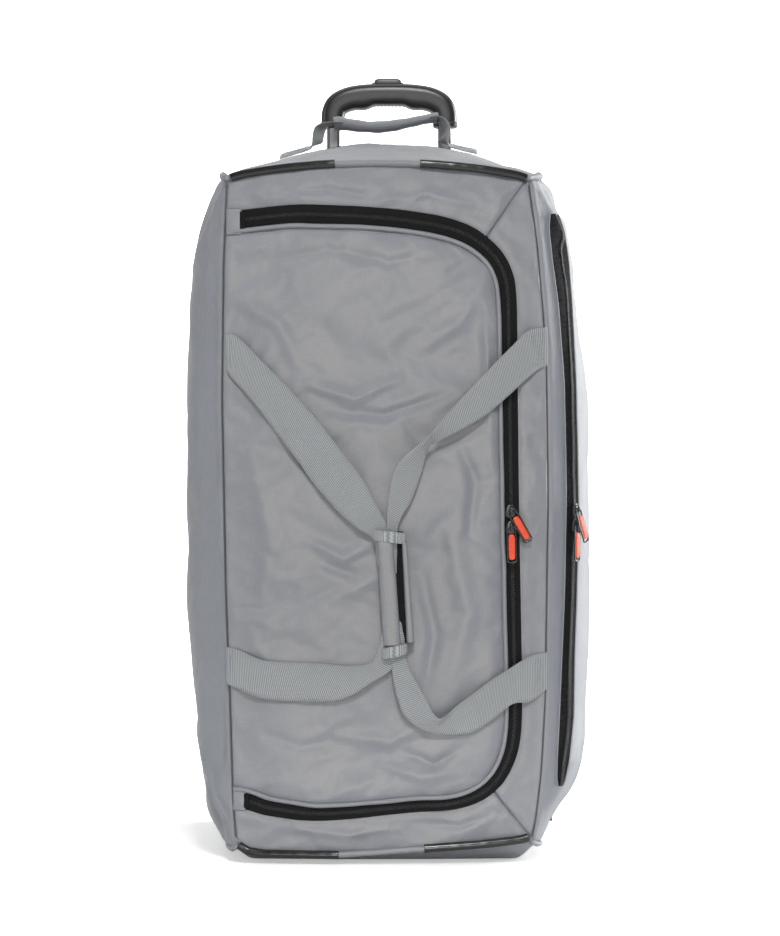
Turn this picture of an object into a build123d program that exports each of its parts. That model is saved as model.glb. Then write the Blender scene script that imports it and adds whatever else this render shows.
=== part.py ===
from build123d import *
import math
import os

# Rolling duffel bag, standing on its end. Millimetres, +Z up.
# The flap panel faces -Y, the wheeled back faces +Y, the telescopic handle
# comes out of the top. Left is -X, right is +X. The origin is on the floor,
# inside the bottom end panel.

os.makedirs("parts", exist_ok=True)

# ------------------------------------------------- shared dimensions -------
# front face: one large cylinder about a vertical axis
FRONT_Y = -194.0          # foremost line of the front face
FRONT_R = 979.0
FRONT_CENTRE_Y = FRONT_Y + FRONT_R
SKIN = 2.5                # thickness of the fabric shell

# flap, outlined by a U on its side that is open to the left
FLAP_LEFT, FLAP_RIGHT = -166.0, 113.0
FLAP_BOTTOM, FLAP_TOP = 66.0, 637.0
FLAP_CORNER = 45.0
ZIP_LEFT = -141.5         # left ends of the zip runs
CHAIN_GROW = (7.6, 11.0)  # inner and outer edge of the main zip, outside the flap
BORDER_GROW = 16.4        # inner edge of the border panel, outside the flap

BACK_Y = 183.0
BACK_OUTSIDE_Y = BACK_Y + 3.7   # seat of the rails and screw heads

# Half widths of the body against height, falling off above and below the
# widest height: half width, widest height, lowest height, loss at
# PROFILE_TOP, loss at the lowest height, power of the fall
PROFILE_TOP = 690
SEAM_PROFILE = (161, 390, 20, 11, 16, 4)     # vertical front seams
SIDE_PROFILE = (208, 350, 10, 40, 50, 6)     # widest line of the gussets
BACK_PROFILE = (183, 350, 10, 13, 10, 6)     # rear edges of the gussets

SIDES = ((1, "right"), (-1, "left"))


# ----------------------------------------------------- shared helpers ------
def save(builder, name):
    """Label the part of a builder and write its STEP file."""
    builder.part.label = name
    export_step(builder.part, "parts/" + name + ".step")


def x_plane(x):
    """Plane at x whose axes are world Y and Z; extrudes towards +X."""
    return Plane(origin=(x, 0, 0), x_dir=(0, 1, 0), z_dir=(1, 0, 0))


def y_plane(y):
    """Plane at y whose axes are world X and Z; a negative extrude goes to +Y."""
    return Plane.XZ.offset(-y)


def mirrored_loop(right_half):
    """Closed point loop from its right half, given from bottom to top."""
    left_half = [(-x, z) for x, z in reversed(right_half)]
    return [*right_half, *left_half, right_half[0]]


def half_width(profile, z):
    """Half width of the body at height z after one of the profiles above."""
    widest, widest_z, lowest_z, top_loss, low_loss, power = profile
    z = min(z, PROFILE_TOP)
    if z > widest_z:
        return widest - top_loss * ((z - widest_z) / (PROFILE_TOP - widest_z)) ** power
    return widest - low_loss * ((widest_z - z) / (widest_z - lowest_z)) ** power


def side_points(z, inward=0.0):
    """Plan outline of the right gusset at height z, front to back."""
    seam = half_width(SEAM_PROFILE, z)
    side = half_width(SIDE_PROFILE, z)
    back = half_width(BACK_PROFILE, z)
    flare = side - seam
    # x, y, then the outward normal there
    stations = [
        (seam + 0.9, -180.5, 0.10, -0.98),
        (seam + 0.55 * flare, -150, 0.86, -0.50),
        (seam + 0.87 * flare, -118, 0.95, -0.31),
        (side, -40, 1, 0),
        (side - 4, 70, 0.98, 0.18),
        (back, 182, 0.97, 0.24),
    ]
    return [(x - inward * nx, y - inward * ny) for x, y, nx, ny in stations]


def front_y(x, forward=0.0):
    """Y at x of the front face moved forward."""
    return FRONT_CENTRE_Y - math.sqrt((FRONT_R + forward) ** 2 - x * x)


def front_sector(x0, x1, rear, fore):
    """Plan sketch of a curved strip, rear to fore in front of the front face."""
    x_mid = (x0 + x1) / 2
    with BuildSketch() as sector:
        with BuildLine():
            ThreePointArc((x0, front_y(x0, fore)), (x_mid, front_y(x_mid, fore)),
                          (x1, front_y(x1, fore)))
            Line((x1, front_y(x1, fore)), (x1, front_y(x1, rear)))
            ThreePointArc((x1, front_y(x1, rear)), (x_mid, front_y(x_mid, rear)),
                          (x0, front_y(x0, rear)))
            Line((x0, front_y(x0, rear)), (x0, front_y(x0, fore)))
        make_face()
    return sector.sketch


def flap_outline(grow, left):
    """Flap outline grown by grow, starting at x = left, right corners rounded."""
    width = FLAP_RIGHT + grow - left
    height = FLAP_TOP - FLAP_BOTTOM + 2 * grow
    with BuildSketch() as outline:
        with Locations((left + width / 2, (FLAP_TOP + FLAP_BOTTOM) / 2)):
            Rectangle(width, height)
        fillet(outline.vertices().group_by(Axis.X)[-1], FLAP_CORNER + grow)
    return outline.sketch


def front_outline():
    """Outline of the whole front face between its two vertical seams."""
    seam_gap = 0.4
    heights = [20, 60, 110, 200, 320, 450, 560, 630, 686]
    right = [(half_width(SEAM_PROFILE, z) - seam_gap, z) for z in heights]
    left = [(-x, z) for x, z in reversed(right)]
    with BuildSketch() as outline:
        with BuildLine():
            Spline(*right)
            ThreePointArc(right[-1], (0, 697), left[0])
            Spline(*left)
            ThreePointArc(left[-1], (0, 12), right[0])
        make_face()
    return outline.sketch


# Face outlines are drawn on a plane behind the front face and cut forwards
OUTLINE_PLANE = y_plane(-150)
OUTLINE_DEPTH = 80

# ---------------------------------------------------------------- flap ------
with BuildPart() as flap_panel:
    with BuildSketch(Plane.XY.offset(FLAP_BOTTOM)):
        add(front_sector(FLAP_LEFT, FLAP_RIGHT, -SKIN, 0))
    extrude(amount=FLAP_TOP - FLAP_BOTTOM)
    with BuildSketch(OUTLINE_PLANE):
        add(flap_outline(0, FLAP_LEFT))
        add(front_outline(), mode=Mode.INTERSECT)
    extrude(amount=OUTLINE_DEPTH, mode=Mode.INTERSECT)
save(flap_panel, "flap_panel")


def flap_band(grow_in, grow_out, rear, fore):
    """U shaped band of the front face between two growths of the flap."""
    with BuildPart() as band:
        with BuildSketch(Plane.XY.offset(FLAP_BOTTOM - grow_out)):
            add(front_sector(ZIP_LEFT, FLAP_RIGHT + grow_out, rear, fore))
        extrude(amount=FLAP_TOP - FLAP_BOTTOM + 2 * grow_out)
        with BuildSketch(OUTLINE_PLANE):
            add(flap_outline(grow_out, ZIP_LEFT))
            add(flap_outline(grow_in, ZIP_LEFT - 20), mode=Mode.SUBTRACT)
        extrude(amount=OUTLINE_DEPTH, mode=Mode.INTERSECT)
    return band


# name, inner and outer growth of the flap, rear and fore offset from the face
FLAP_BANDS = (
    ("flap_piping", 0.3, 3.6, -2.0, 2.4),
    ("flap_zip_tape", 3.9, 7.4, -1.6, 0.1),
    ("main_zip_chain", *CHAIN_GROW, -1.8, 0.9),
    ("border_zip_tape", 11.6, 16.0, -1.6, 0.1),
)
for name, *band_size in FLAP_BANDS:
    save(flap_band(*band_size), name)

# folded fabric tabs that close the left ends of the two zip runs
TAB_NEAR, TAB_FAR = 1.0, 15       # distances above and below the flap
with BuildPart() as zip_end_tabs:
    for bottom, top in ((FLAP_BOTTOM - TAB_FAR, FLAP_BOTTOM - TAB_NEAR),
                        (FLAP_TOP + TAB_NEAR, FLAP_TOP + TAB_FAR)):
        with BuildSketch(Plane.XY.offset(bottom)):
            add(front_sector(-148.6, -142.2, -2.5, 2.0))
        extrude(amount=top - bottom)
save(zip_end_tabs, "zip_end_tabs")

# front panel around the flap, up to the two vertical seams
with BuildPart() as border_panel:
    with BuildSketch(Plane.XY.offset(5)):
        add(front_sector(-170, 170, -SKIN, 0))
    extrude(amount=700)
    with BuildSketch(OUTLINE_PLANE):
        add(front_outline())
        add(flap_outline(BORDER_GROW, -200), mode=Mode.SUBTRACT)
    extrude(amount=OUTLINE_DEPTH, mode=Mode.INTERSECT)
save(border_panel, "border_panel")

# -------------------------------------------------------------- gussets -----
GUSSET_Z = [16, 40, 70, 110, 170, 260, 350, 450, 540, 600, 645, 675, 687]
GUSSET_RIM = 26           # straight height above the last section
GUSSET_CUT_X = 230        # half width of the cut along the top edge
# Y and Z of the area cut away above the top edge, which rises to the back
GUSSET_TOP_CUT = [
    (-200, 686.4), (-180, 686.4), (-120, 692.2), (-40, 696.2), (40, 701.2),
    (120, 707.2), (182, 709.2), (200, 709.2), (200, 760), (-200, 760), (-200, 686.4),
]


def make_gusset(side):
    """Side wall of the bag, side +1 for right and -1 for left."""
    with BuildPart() as gusset:
        for z in GUSSET_Z:
            with BuildSketch(Plane.XY.offset(z)):
                outer = [(side * x, y) for x, y in side_points(z)]
                inner = [(side * x, y) for x, y in side_points(z, SKIN)]
                with BuildLine():
                    Spline(*outer)
                    Line(outer[-1], inner[-1])
                    Spline(*reversed(inner))
                    Line(inner[0], outer[0])
                make_face()
        loft()
        # straight upper rim on the last section
        with BuildSketch(Plane.XY.offset(GUSSET_Z[-1])):
            with BuildLine():
                Spline(*outer)
                Line(outer[-1], inner[-1])
                Spline(*reversed(inner))
                Line(inner[0], outer[0])
            make_face()
        extrude(amount=GUSSET_RIM)
        with BuildSketch(Plane.YZ.offset(-GUSSET_CUT_X)):
            with BuildLine():
                Polyline(*GUSSET_TOP_CUT)
            make_face()
        extrude(amount=2 * GUSSET_CUT_X, mode=Mode.SUBTRACT)
        # room for the wheel housing at the lower back corner
        with BuildSketch(Plane.XY.offset(0)):
            with Locations((side * 175, 160)):
                Rectangle(90, 102)
        extrude(amount=95, mode=Mode.SUBTRACT)
    return gusset


for side, tag in SIDES:
    save(make_gusset(side), "gusset_" + tag)

# ----------------------------------------------------------- end panels -----
# y, height at the sides, height in the middle
ROOF = [
    (-200, 684, 697), (-180, 689, 699), (-120, 695, 712), (-40, 699, 728),
    (40, 704, 741), (120, 710, 748.5), (182, 712, 742), (190, 711, 739),
]
ROOF_X = (-176, -120, -60, 0, 60, 120, 176)
ROOF_HALF_W = 172         # where the roof is down to its side height
# right edge of the end panels in plan, front to back
END_EDGE = ((147.5, -179.4), (161, -120), (166, -40), (167.5, 60), (168, 182))
END_FRONT_Y = -190.8      # foremost point of the end panels
TOP_CUT_Z, TOP_CUT_H = 640, 150   # heights that clear the whole top panel

TUBE_X, TUBE_Y = 62.0, 170.0      # places of the handle tubes


def roof_section(side_z, middle_z, drop):
    """Points of the roof arch across the bag, lowered by drop."""
    return [(x, side_z + (middle_z - side_z) * (1 - (x / ROOF_HALF_W) ** 2) - drop)
            for x in ROOF_X]


def plan_outline(width_scale, inset):
    """Plan outline of an end panel."""
    right = [(width_scale * x - inset,
              y + (inset if y < -150 else 0) - (inset if y > 150 else 0))
             for x, y in END_EDGE]
    left = [(-x, y) for x, y in reversed(right)]
    with BuildSketch() as outline:
        with BuildLine():
            Spline(*right)
            Line(right[-1], left[0])
            Spline(*left)
            ThreePointArc(left[-1], (0, END_FRONT_Y + inset), right[0])
        make_face()
    return outline.sketch


with BuildPart() as top_end_panel:
    for y, side_z, middle_z in ROOF:
        with BuildSketch(y_plane(y)):
            upper = roof_section(side_z, middle_z, 0)
            lower = roof_section(side_z, middle_z, SKIN)
            with BuildLine():
                Spline(*upper)
                Line(upper[-1], lower[-1])
                Spline(*reversed(lower))
                Line(lower[0], upper[0])
            make_face()
    loft()
    with BuildSketch(Plane.XY.offset(TOP_CUT_Z)):
        add(plan_outline(1.0, 0))
    extrude(amount=TOP_CUT_H, mode=Mode.INTERSECT)
    # opening for the handle bezel
    with BuildSketch(Plane.XY.offset(TOP_CUT_Z)):
        with Locations((0, TUBE_Y + 4)):
            Rectangle(198, 40)
    extrude(amount=TOP_CUT_H, mode=Mode.SUBTRACT)
save(top_end_panel, "top_end_panel")

# Shallow tray, narrower at the floor than at its rim
FLOOR_SCALE, FLOOR_INSET = 0.97, 16
RIM_SCALE, RIM_Z = 0.955, 15
TRAY_WALL = 3             # inset of the hollow
with BuildPart() as bottom_end_panel:
    with BuildSketch(Plane.XY):
        add(plan_outline(FLOOR_SCALE, FLOOR_INSET))
    with BuildSketch(Plane.XY.offset(RIM_Z)):
        add(plan_outline(RIM_SCALE, 0))
    loft()
    with BuildSketch(Plane.XY.offset(SKIN)):
        add(plan_outline(FLOOR_SCALE, FLOOR_INSET + TRAY_WALL))
    with BuildSketch(Plane.XY.offset(RIM_Z + 0.01)):
        add(plan_outline(RIM_SCALE, TRAY_WALL))
    loft(mode=Mode.SUBTRACT)
    # room for the wheel housings
    with BuildSketch(Plane.XY.offset(-1)):
        with Locations((-160, 150), (160, 150)):
            Rectangle(60, 82)
    extrude(amount=40, mode=Mode.SUBTRACT)
save(bottom_end_panel, "bottom_end_panel")

# ----------------------------------------------------------------- back -----
BACK_THICK = 3            # of the back panel and of the board
# right halves of the outlines, x and z, bottom to top
BACK_PANEL_HALF = [
    (138, 22), (138, 98), (178, 98), (180, 300), (179, 560), (172, 640),
    (168, 690), (168, 708), (140, 717), (99, 727), (99, 736),
]
BACK_BOARD_HALF = [(134, 24), (134, 99), (160, 99), (160, 640), (140, 700)]


def make_back_sheet(right_half, y):
    """Flat sheet with a symmetric outline, front side at y."""
    with BuildPart() as sheet:
        with BuildSketch(y_plane(y)):
            with BuildLine():
                Polyline(*mirrored_loop(right_half))
            make_face()
        extrude(amount=-BACK_THICK)
    return sheet


save(make_back_sheet(BACK_PANEL_HALF, BACK_Y + 0.5), "back_panel")
# stiff board inside the back that carries the tubes and the wheel housings
save(make_back_sheet(BACK_BOARD_HALF, BACK_Y - 3.4), "back_board")

RAIL_X, RAIL_Z = 112, 405         # centres of the rails
RAIL_L, RAIL_W, RAIL_H = 590, 16, 6.3
with BuildPart() as skid_rails:
    with BuildSketch(y_plane(BACK_OUTSIDE_Y)):
        with Locations((-RAIL_X, RAIL_Z), (RAIL_X, RAIL_Z)):
            SlotOverall(RAIL_L, RAIL_W, rotation=90)
    extrude(amount=-RAIL_H)
    chamfer(skid_rails.faces().sort_by(Axis.Y)[-2:].edges(), 2)
save(skid_rails, "skid_rails")

# --------------------------------------------------------------- piping -----
# Cord along the front edges of both end panels: thin in the middle, thicker
# sleeves towards the corners
PIPE_R = 3.6
SLEEVE_R = PIPE_R + 0.6
# height at the ends, rise in the middle, half length
TOP_EDGE = (690.5, 11.0, 150)
LOW_EDGE = (15.5, -8.5, 146)
# edge, then the x stations of each run
CORD_RUNS = (
    (TOP_EDGE, (-51.5, -12, 28.5)),
    (LOW_EDGE, (-50.5, -8, 34.5)),
)
SLEEVE_RUNS = (
    (TOP_EDGE, (-149, -120, -85, -53)),
    (TOP_EDGE, (30, 60, 100, 149)),
    (LOW_EDGE, (-144, -110, -80, -52)),
    (LOW_EDGE, (36, 70, 105, 144)),
)


def edge_point(edge, x):
    """Point of the piping at x."""
    end_z, rise, half_length = edge
    return (x, front_y(x, 1.2) - 1.0, end_z + rise * (1 - (x / half_length) ** 2))


def make_cord(points, radius):
    """Round cord through the points."""
    with BuildPart() as cord:
        with BuildLine() as path:
            Spline(*points)
        with BuildSketch(Plane(origin=path.line @ 0, z_dir=path.line % 0)):
            Circle(radius)
        sweep()
    return cord


def make_piping(runs, radius):
    """All cords of one radius as one part."""
    cords = [make_cord([edge_point(edge, x) for x in stations], radius)
             for edge, stations in runs]
    with BuildPart() as piping:
        for cord in cords:
            add(cord.part)
    return piping


save(make_piping(CORD_RUNS, PIPE_R), "piping_cord")
save(make_piping(SLEEVE_RUNS, SLEEVE_R), "piping_sleeves")

# ------------------------------------------------------------- side zip -----
SIDE_ZIP_Z = [76, 110, 170, 260, 350, 450, 540, 600, 640]
SIDE_TAN_X, SIDE_TAN_Y = 0.574, 0.819                # gusset tangent at the zip
SIDE_OUT_X, SIDE_OUT_Y = SIDE_TAN_Y, -SIDE_TAN_X     # outward normal there
GUSSET_BEND_R = 130.0     # radius by which the gusset curves from its tangent


def make_side_strip(half_w, inside, outside):
    """Vertical strip on the right gusset between two outward offsets."""
    corners = ((-half_w, inside), (half_w, inside), (half_w, outside), (-half_w, outside))
    with BuildPart() as strip:
        for z in SIDE_ZIP_Z:
            zip_x, zip_y = side_points(z)[1]
            section = []
            for along, out in corners:
                out_bent = out - along * along / (2 * GUSSET_BEND_R)
                section.append((zip_x + SIDE_TAN_X * along + SIDE_OUT_X * out_bent,
                                zip_y + SIDE_TAN_Y * along + SIDE_OUT_Y * out_bent))
            with BuildSketch(Plane.XY.offset(z)):
                with BuildLine():
                    Polyline(*section, section[0])
                make_face()
        loft()
    return strip


save(make_side_strip(half_w=8, inside=1.4, outside=2.2), "side_zip_tape")
save(make_side_strip(half_w=2.6, inside=2.6, outside=4.2), "side_zip_chain")

# -------------------------------------------------- zip sliders and pulls ---
main_zip_x = FLAP_RIGHT + sum(CHAIN_GROW) / 2
tilt = math.asin(main_zip_x / FRONT_R)
side_zip_x, side_zip_y = side_points(350)[1]
SIDE_SLIDER_OUT = 4.7     # seat of the side sliders, outward from the gusset

# planes of the slider seats: local y is height, local z points outward
MAIN_SEAT = Plane(
    origin=(main_zip_x, front_y(main_zip_x, 1.3), 0),
    x_dir=(math.cos(tilt), math.sin(tilt), 0),
    z_dir=(math.sin(tilt), -math.cos(tilt), 0),
)
SIDE_SEAT = Plane(
    origin=(side_zip_x + SIDE_OUT_X * SIDE_SLIDER_OUT,
            side_zip_y + SIDE_OUT_Y * SIDE_SLIDER_OUT, 0),
    x_dir=(SIDE_TAN_X, SIDE_TAN_Y, 0),
    z_dir=(SIDE_OUT_X, SIDE_OUT_Y, 0),
)
SLIDER_THICK = 1.8
BRIDGE_UP = 1.0           # bridge centre above the slider centre
PULL_UP, PULL_OUT = 0.9, 3.1      # pull origin from the slider origin

# name, seat, height, lean of the pull in degrees
SLIDERS = (
    ("main_upper", MAIN_SEAT, 352.0, 30.0),
    ("main_lower", MAIN_SEAT, 335.0, 2.0),
    ("side_upper", SIDE_SEAT, 356.0, 26.0),
    ("side_lower", SIDE_SEAT, 336.0, -4.0),
)


def make_slider(seat, z):
    """Slider body with the raised bridge that the pull hangs from."""
    with BuildPart() as slider:
        with BuildSketch(seat):
            with Locations((0, z)):
                RectangleRounded(9.6, 13.0, 2.5)
        extrude(amount=SLIDER_THICK)
        fillet(slider.faces().sort_by(Axis(seat.origin, seat.z_dir))[-1].edges(), 0.6)
        # bridge, sunk slightly into the body
        with BuildSketch(seat.offset(SLIDER_THICK - 0.1)):
            with Locations((0, z + BRIDGE_UP)):
                Rectangle(1.6, 8.2)
        extrude(amount=5.4)
        # opening under the bridge
        with BuildSketch(seat.offset(SLIDER_THICK)):
            with Locations((0, z + BRIDGE_UP)):
                Rectangle(4.0, 5.2)
        extrude(amount=4.0, mode=Mode.SUBTRACT)
    return slider


def pull_plane(seat, z, lean):
    """Plane of a pull that hangs from height z, turned by lean degrees."""
    angle = math.radians(lean)
    return Plane(
        origin=seat.from_local_coords(Vector(0, z, PULL_OUT)),
        x_dir=seat.x_dir * math.cos(angle) + seat.y_dir * math.sin(angle),
        z_dir=seat.z_dir,
    )


def make_pull_frame(plane):
    """Long closed loop of the pull."""
    with BuildPart() as frame:
        with BuildSketch(plane):
            with Locations((0, -18.0)):
                RectangleRounded(9.0, 38.4, 3.0)
            with Locations((0, -18.3)):
                RectangleRounded(6.0, 34.6, 1.2, mode=Mode.SUBTRACT)
        extrude(amount=1.4)
    return frame


def make_pull_insert(plane):
    """Plate that fills the lower part of the loop."""
    with BuildPart() as insert:
        with BuildSketch(plane):
            with Locations((0, -22.0)):
                RectangleRounded(5.9, 27.0, 1.1)
        extrude(amount=1.5)
        fillet(insert.faces().sort_by(Axis(plane.origin, plane.z_dir))[-1].edges(), 0.5)
    return insert


for tag, seat, z, lean in SLIDERS:
    save(make_slider(seat, z), "zip_slider_" + tag)
    hanging = pull_plane(seat, z + PULL_UP, lean)
    save(make_pull_frame(hanging), "pull_frame_" + tag)
    save(make_pull_insert(hanging), "pull_insert_" + tag)

# --------------------------------------------------------------- straps -----
# Webbing in front of the flap; both straps run into the wrap. Outlines are
# x and z: the upper branch down to the wrap, out along the lower edge of the
# lower branch, then back along the other edges.
WEB_W = 37.0
STRAP_BOTTOM, STRAP_H = 100, 480  # height range that holds both outlines
LAYER_LEFT = (6.0, 8.0)           # rear and fore offset from the front face
LAYER_RIGHT = (9.0, 11.0)
STRAP_LEFT = [
    (-158, 530), (-151, 526), (-97, 471), (-46, 410), (-8, 356), (10, 338),
    (10, 205), (-2, 186), (-20, 172), (-49, 165), (-97, 163), (-135, 167),
    (-153, 178), (-158, 178), (-158, 215), (-153, 215), (-125, 204), (-71, 201),
    (-22, 203), (-10, 206), (-10, 337), (-22, 346), (-51, 352), (-77, 382),
    (-110, 427), (-154, 481), (-158, 486),
]
STRAP_RIGHT = [
    (157, 530), (139, 532), (107, 501), (69, 461), (38, 428), (20, 408),
    (0, 375), (-6, 338), (-6, 205), (6, 170), (22, 145), (46, 132), (84, 132),
    (120, 158), (139, 160), (157, 172), (157, 210), (139, 207), (94, 179),
    (82, 170), (50, 148), (40, 158), (24, 185), (11, 208), (11, 338), (28, 362),
    (34, 390), (60, 420), (94, 445), (130, 474), (150, 494), (157, 497),
]


def make_strap(outline, layer):
    """Curved sheet of webbing cut to an outline."""
    with BuildPart() as strap:
        with BuildSketch(Plane.XY.offset(STRAP_BOTTOM)):
            add(front_sector(-165, 165, *layer))
        extrude(amount=STRAP_H)
        with BuildSketch(OUTLINE_PLANE):
            with BuildLine():
                Polyline(*outline, outline[0])
            make_face()
        extrude(amount=OUTLINE_DEPTH, mode=Mode.INTERSECT)
    return strap


save(make_strap(STRAP_LEFT, LAYER_LEFT), "strap_left")
save(make_strap(STRAP_RIGHT, LAYER_RIGHT), "strap_right")

# sewn reinforcement blocks under the strap ends:
# name, x range, height ranges, rear side of the strap
ANCHOR_GAP = 0.4          # between a block and its strap
ANCHORS = (
    ("left", -157.4, -147.5, ((486, 528), (179, 214)), LAYER_LEFT[0]),
    ("right", 147.0, 156.0, ((498, 530), (173, 206)), LAYER_RIGHT[0]),
)
for tag, x0, x1, height_ranges, strap_rear in ANCHORS:
    with BuildPart() as anchor:
        for bottom, top in height_ranges:
            with BuildSketch(Plane.XY.offset(bottom)):
                add(front_sector(x0, x1, 0.3, strap_rear - ANCHOR_GAP))
            extrude(amount=top - bottom)
    save(anchor, "strap_anchor_" + tag)

# padded wrap round both straps: a folded leaf, open on its right
with BuildPart() as grip_wrap:
    with BuildSketch(Plane.XY.offset(212)):
        add(front_sector(-15, 20, 12.0, 15.0))
        add(front_sector(-15, 20, 2.0, 5.0))
        add(front_sector(-15, -12, 4.0, 13.0))
    extrude(amount=119)
save(grip_wrap, "grip_wrap")

# binding along the lower and upper ends of the wrap
with BuildPart() as wrap_binding:
    for bottom in (207, 331.4):
        with BuildSketch(Plane.XY.offset(bottom)):
            add(front_sector(-16, 21, 12.0, 15.8))
            add(front_sector(-16, 21, 1.2, 5.0))
            add(front_sector(-16, -12, 4.0, 13.0))
        extrude(amount=4.6)
save(wrap_binding, "wrap_binding")

# ---------------------------------------------------------- haul handle -----
HAUL_Y, HAUL_Z = 100.0, 775.0     # centre of the sleeve
HAUL_PLANE = y_plane(HAUL_Y - WEB_W / 2)
HAUL_TAB_X = (70, 86, 102, 118)
HAUL_FOOT_X = 72          # where the webbing leaves the roof
HAUL_TOP_X, HAUL_TOP_Z = 60, 776
HAUL_THICK_X = 2.4        # webbing thickness along x
SLEEVE_HALF_L = 59


def roof_z(x):
    """Height of the roof under the haul handle."""
    return 710 + 38.5 * (1 - (x / ROOF_HALF_W) ** 2)


# tabs that lie flat on the roof
with BuildPart() as haul_tabs:
    for side in (-1, 1):
        lower = [(side * x, roof_z(x) + 0.8) for x in HAUL_TAB_X]
        upper = [(side * x, roof_z(x) + 2.8) for x in reversed(HAUL_TAB_X)]
        with BuildSketch(HAUL_PLANE):
            with BuildLine():
                Polyline(*lower, *upper, lower[0])
            make_face()
        extrude(amount=-WEB_W)
save(haul_tabs, "haul_tabs")

# webbing that rises from the tabs to the sleeve
with BuildPart() as haul_webbing:
    foot_z = roof_z(HAUL_FOOT_X) + 3.4
    for side in (-1, 1):
        with BuildSketch(HAUL_PLANE):
            with BuildLine():
                Polyline(
                    (side * HAUL_FOOT_X, foot_z),
                    (side * (HAUL_FOOT_X + HAUL_THICK_X), foot_z),
                    (side * (HAUL_TOP_X + HAUL_THICK_X), HAUL_TOP_Z),
                    (side * HAUL_TOP_X, HAUL_TOP_Z),
                    (side * HAUL_FOOT_X, foot_z),
                )
            make_face()
        extrude(amount=-WEB_W)
save(haul_webbing, "haul_webbing")

with BuildPart() as haul_sleeve:
    with BuildSketch(Plane.YZ.offset(-SLEEVE_HALF_L)):
        with Locations((HAUL_Y, HAUL_Z)):
            RectangleRounded(18, 12, 5.5)
    extrude(amount=2 * SLEEVE_HALF_L)
save(haul_sleeve, "haul_sleeve")

# ----------------------------------------------------- telescopic tubes -----
TUBES = ((-TUBE_X, TUBE_Y), (TUBE_X, TUBE_Y))
OUTER_W, OUTER_D = 23.0, 17.0
MID_W, MID_D = 19.4, 13.4
INNER_W, INNER_D = 15.0, 9.2
TWO_WALLS = 2 * 1.2
OUTER_BOTTOM, OUTER_TOP = 78.0, 733.0
MID_TOP, INNER_TOP = 742.6, 792
BUSH_GAP = 0.1            # between a tube and the bush on its top
BUSH_FIT = 0.4            # added to the next tube's size for the bush bore


def make_tube_pair(section, bore, bottom, height, top_fillet=0):
    """Left and right tube; section and bore are width, depth, corner radius."""
    with BuildPart() as pair:
        with BuildSketch(Plane.XY.offset(bottom)):
            with Locations(*TUBES):
                RectangleRounded(*section)
                RectangleRounded(*bore, mode=Mode.SUBTRACT)
        extrude(amount=height)
        if top_fillet:
            fillet(pair.faces().group_by(Axis.Z)[-1].edges(), top_fillet)
    return pair


def make_tubes(width, depth, corner, bottom, top):
    """Pair of tubes with the common wall."""
    bore = (width - TWO_WALLS, depth - TWO_WALLS, corner - 1)
    return make_tube_pair((width, depth, corner), bore, bottom, top - bottom)


save(make_tubes(OUTER_W, OUTER_D, 5, OUTER_BOTTOM, OUTER_TOP), "outer_tubes")
save(make_tubes(MID_W, MID_D, 4.4, OUTER_BOTTOM + 8, MID_TOP), "mid_tubes")
save(make_tubes(INNER_W, INNER_D, 3.4, OUTER_BOTTOM + 14, INNER_TOP), "inner_tubes")

# collars that guide the next tube
outer_bushes = make_tube_pair(
    section=(OUTER_W + 1, OUTER_D + 1, 5),
    bore=(MID_W + BUSH_FIT, MID_D + BUSH_FIT, 4.5),
    bottom=OUTER_TOP + BUSH_GAP,
    height=3.2,
)
save(outer_bushes, "outer_tube_bushes")
mid_bushes = make_tube_pair(
    section=(MID_W + 1, MID_D + 1, 4.8),
    bore=(INNER_W + BUSH_FIT, INNER_D + BUSH_FIT, 3.5),
    bottom=MID_TOP + BUSH_GAP,
    height=6,
    top_fillet=0.5,
)
save(mid_bushes, "mid_tube_bushes")

# moulded bezel where the tubes leave the bag
with BuildPart() as handle_bezel:
    with BuildSketch(Plane.XY.offset(736.8)):
        with Locations((0, TUBE_Y)):
            RectangleRounded(196, 31, 10)
    extrude(amount=5)
    fillet(handle_bezel.faces().sort_by(Axis.Z)[-1].edges(), 2)
    with BuildSketch(Plane.XY.offset(730)):
        with Locations(*TUBES):
            RectangleRounded(MID_W + 2.4, MID_D + 2.4, 4.8)
    extrude(amount=30, mode=Mode.SUBTRACT)
save(handle_bezel, "handle_bezel")

# foot bracket that holds the lower ends of the outer tubes
with BuildPart() as tube_foot:
    with BuildSketch(Plane.XY.offset(58)):
        with Locations((0, 169.3)):
            RectangleRounded(176, 20, 4)
    extrude(amount=46)
    # tube sockets
    with BuildSketch(Plane.XY.offset(OUTER_BOTTOM - 0.2)):
        with Locations(*TUBES):
            RectangleRounded(OUTER_W + 0.3, OUTER_D + 0.3, 5.1)
    extrude(amount=60, mode=Mode.SUBTRACT)
    # recess in the front, between the tubes
    with BuildSketch(y_plane(150)):
        with Locations((0, 84)):
            Rectangle(84, 30)
    extrude(amount=-24, mode=Mode.SUBTRACT)
save(tube_foot, "tube_foot")

# ----------------------------------------------------------------- grip -----
# An arch with two legs, moulded as a front and a rear shell
GRIP_HALF_W = 75.0
LEG_INSIDE_X = 48         # inner side of the legs
GRIP_BOTTOM = 776.0
GRIP_DEPTH = 30.0
SHELL_GAP = 0.1           # from the parting plane to each shell
# x and z, left to right
GRIP_UPPER = [
    (-GRIP_HALF_W, 795), (-72.6, 805), (-64.5, 813), (-42, 820), (-16, 823.5),
    (16, 823.5), (42, 820), (64.5, 813), (72.6, 805), (GRIP_HALF_W, 795),
]
# x and z, right to left
GRIP_LOWER = [
    (LEG_INSIDE_X, 784), (45, 791), (37, 795.2), (18, 795.6), (0, 794),
    (-18, 795.6), (-37, 795.2), (-45, 791), (-LEG_INSIDE_X, 784),
]


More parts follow.
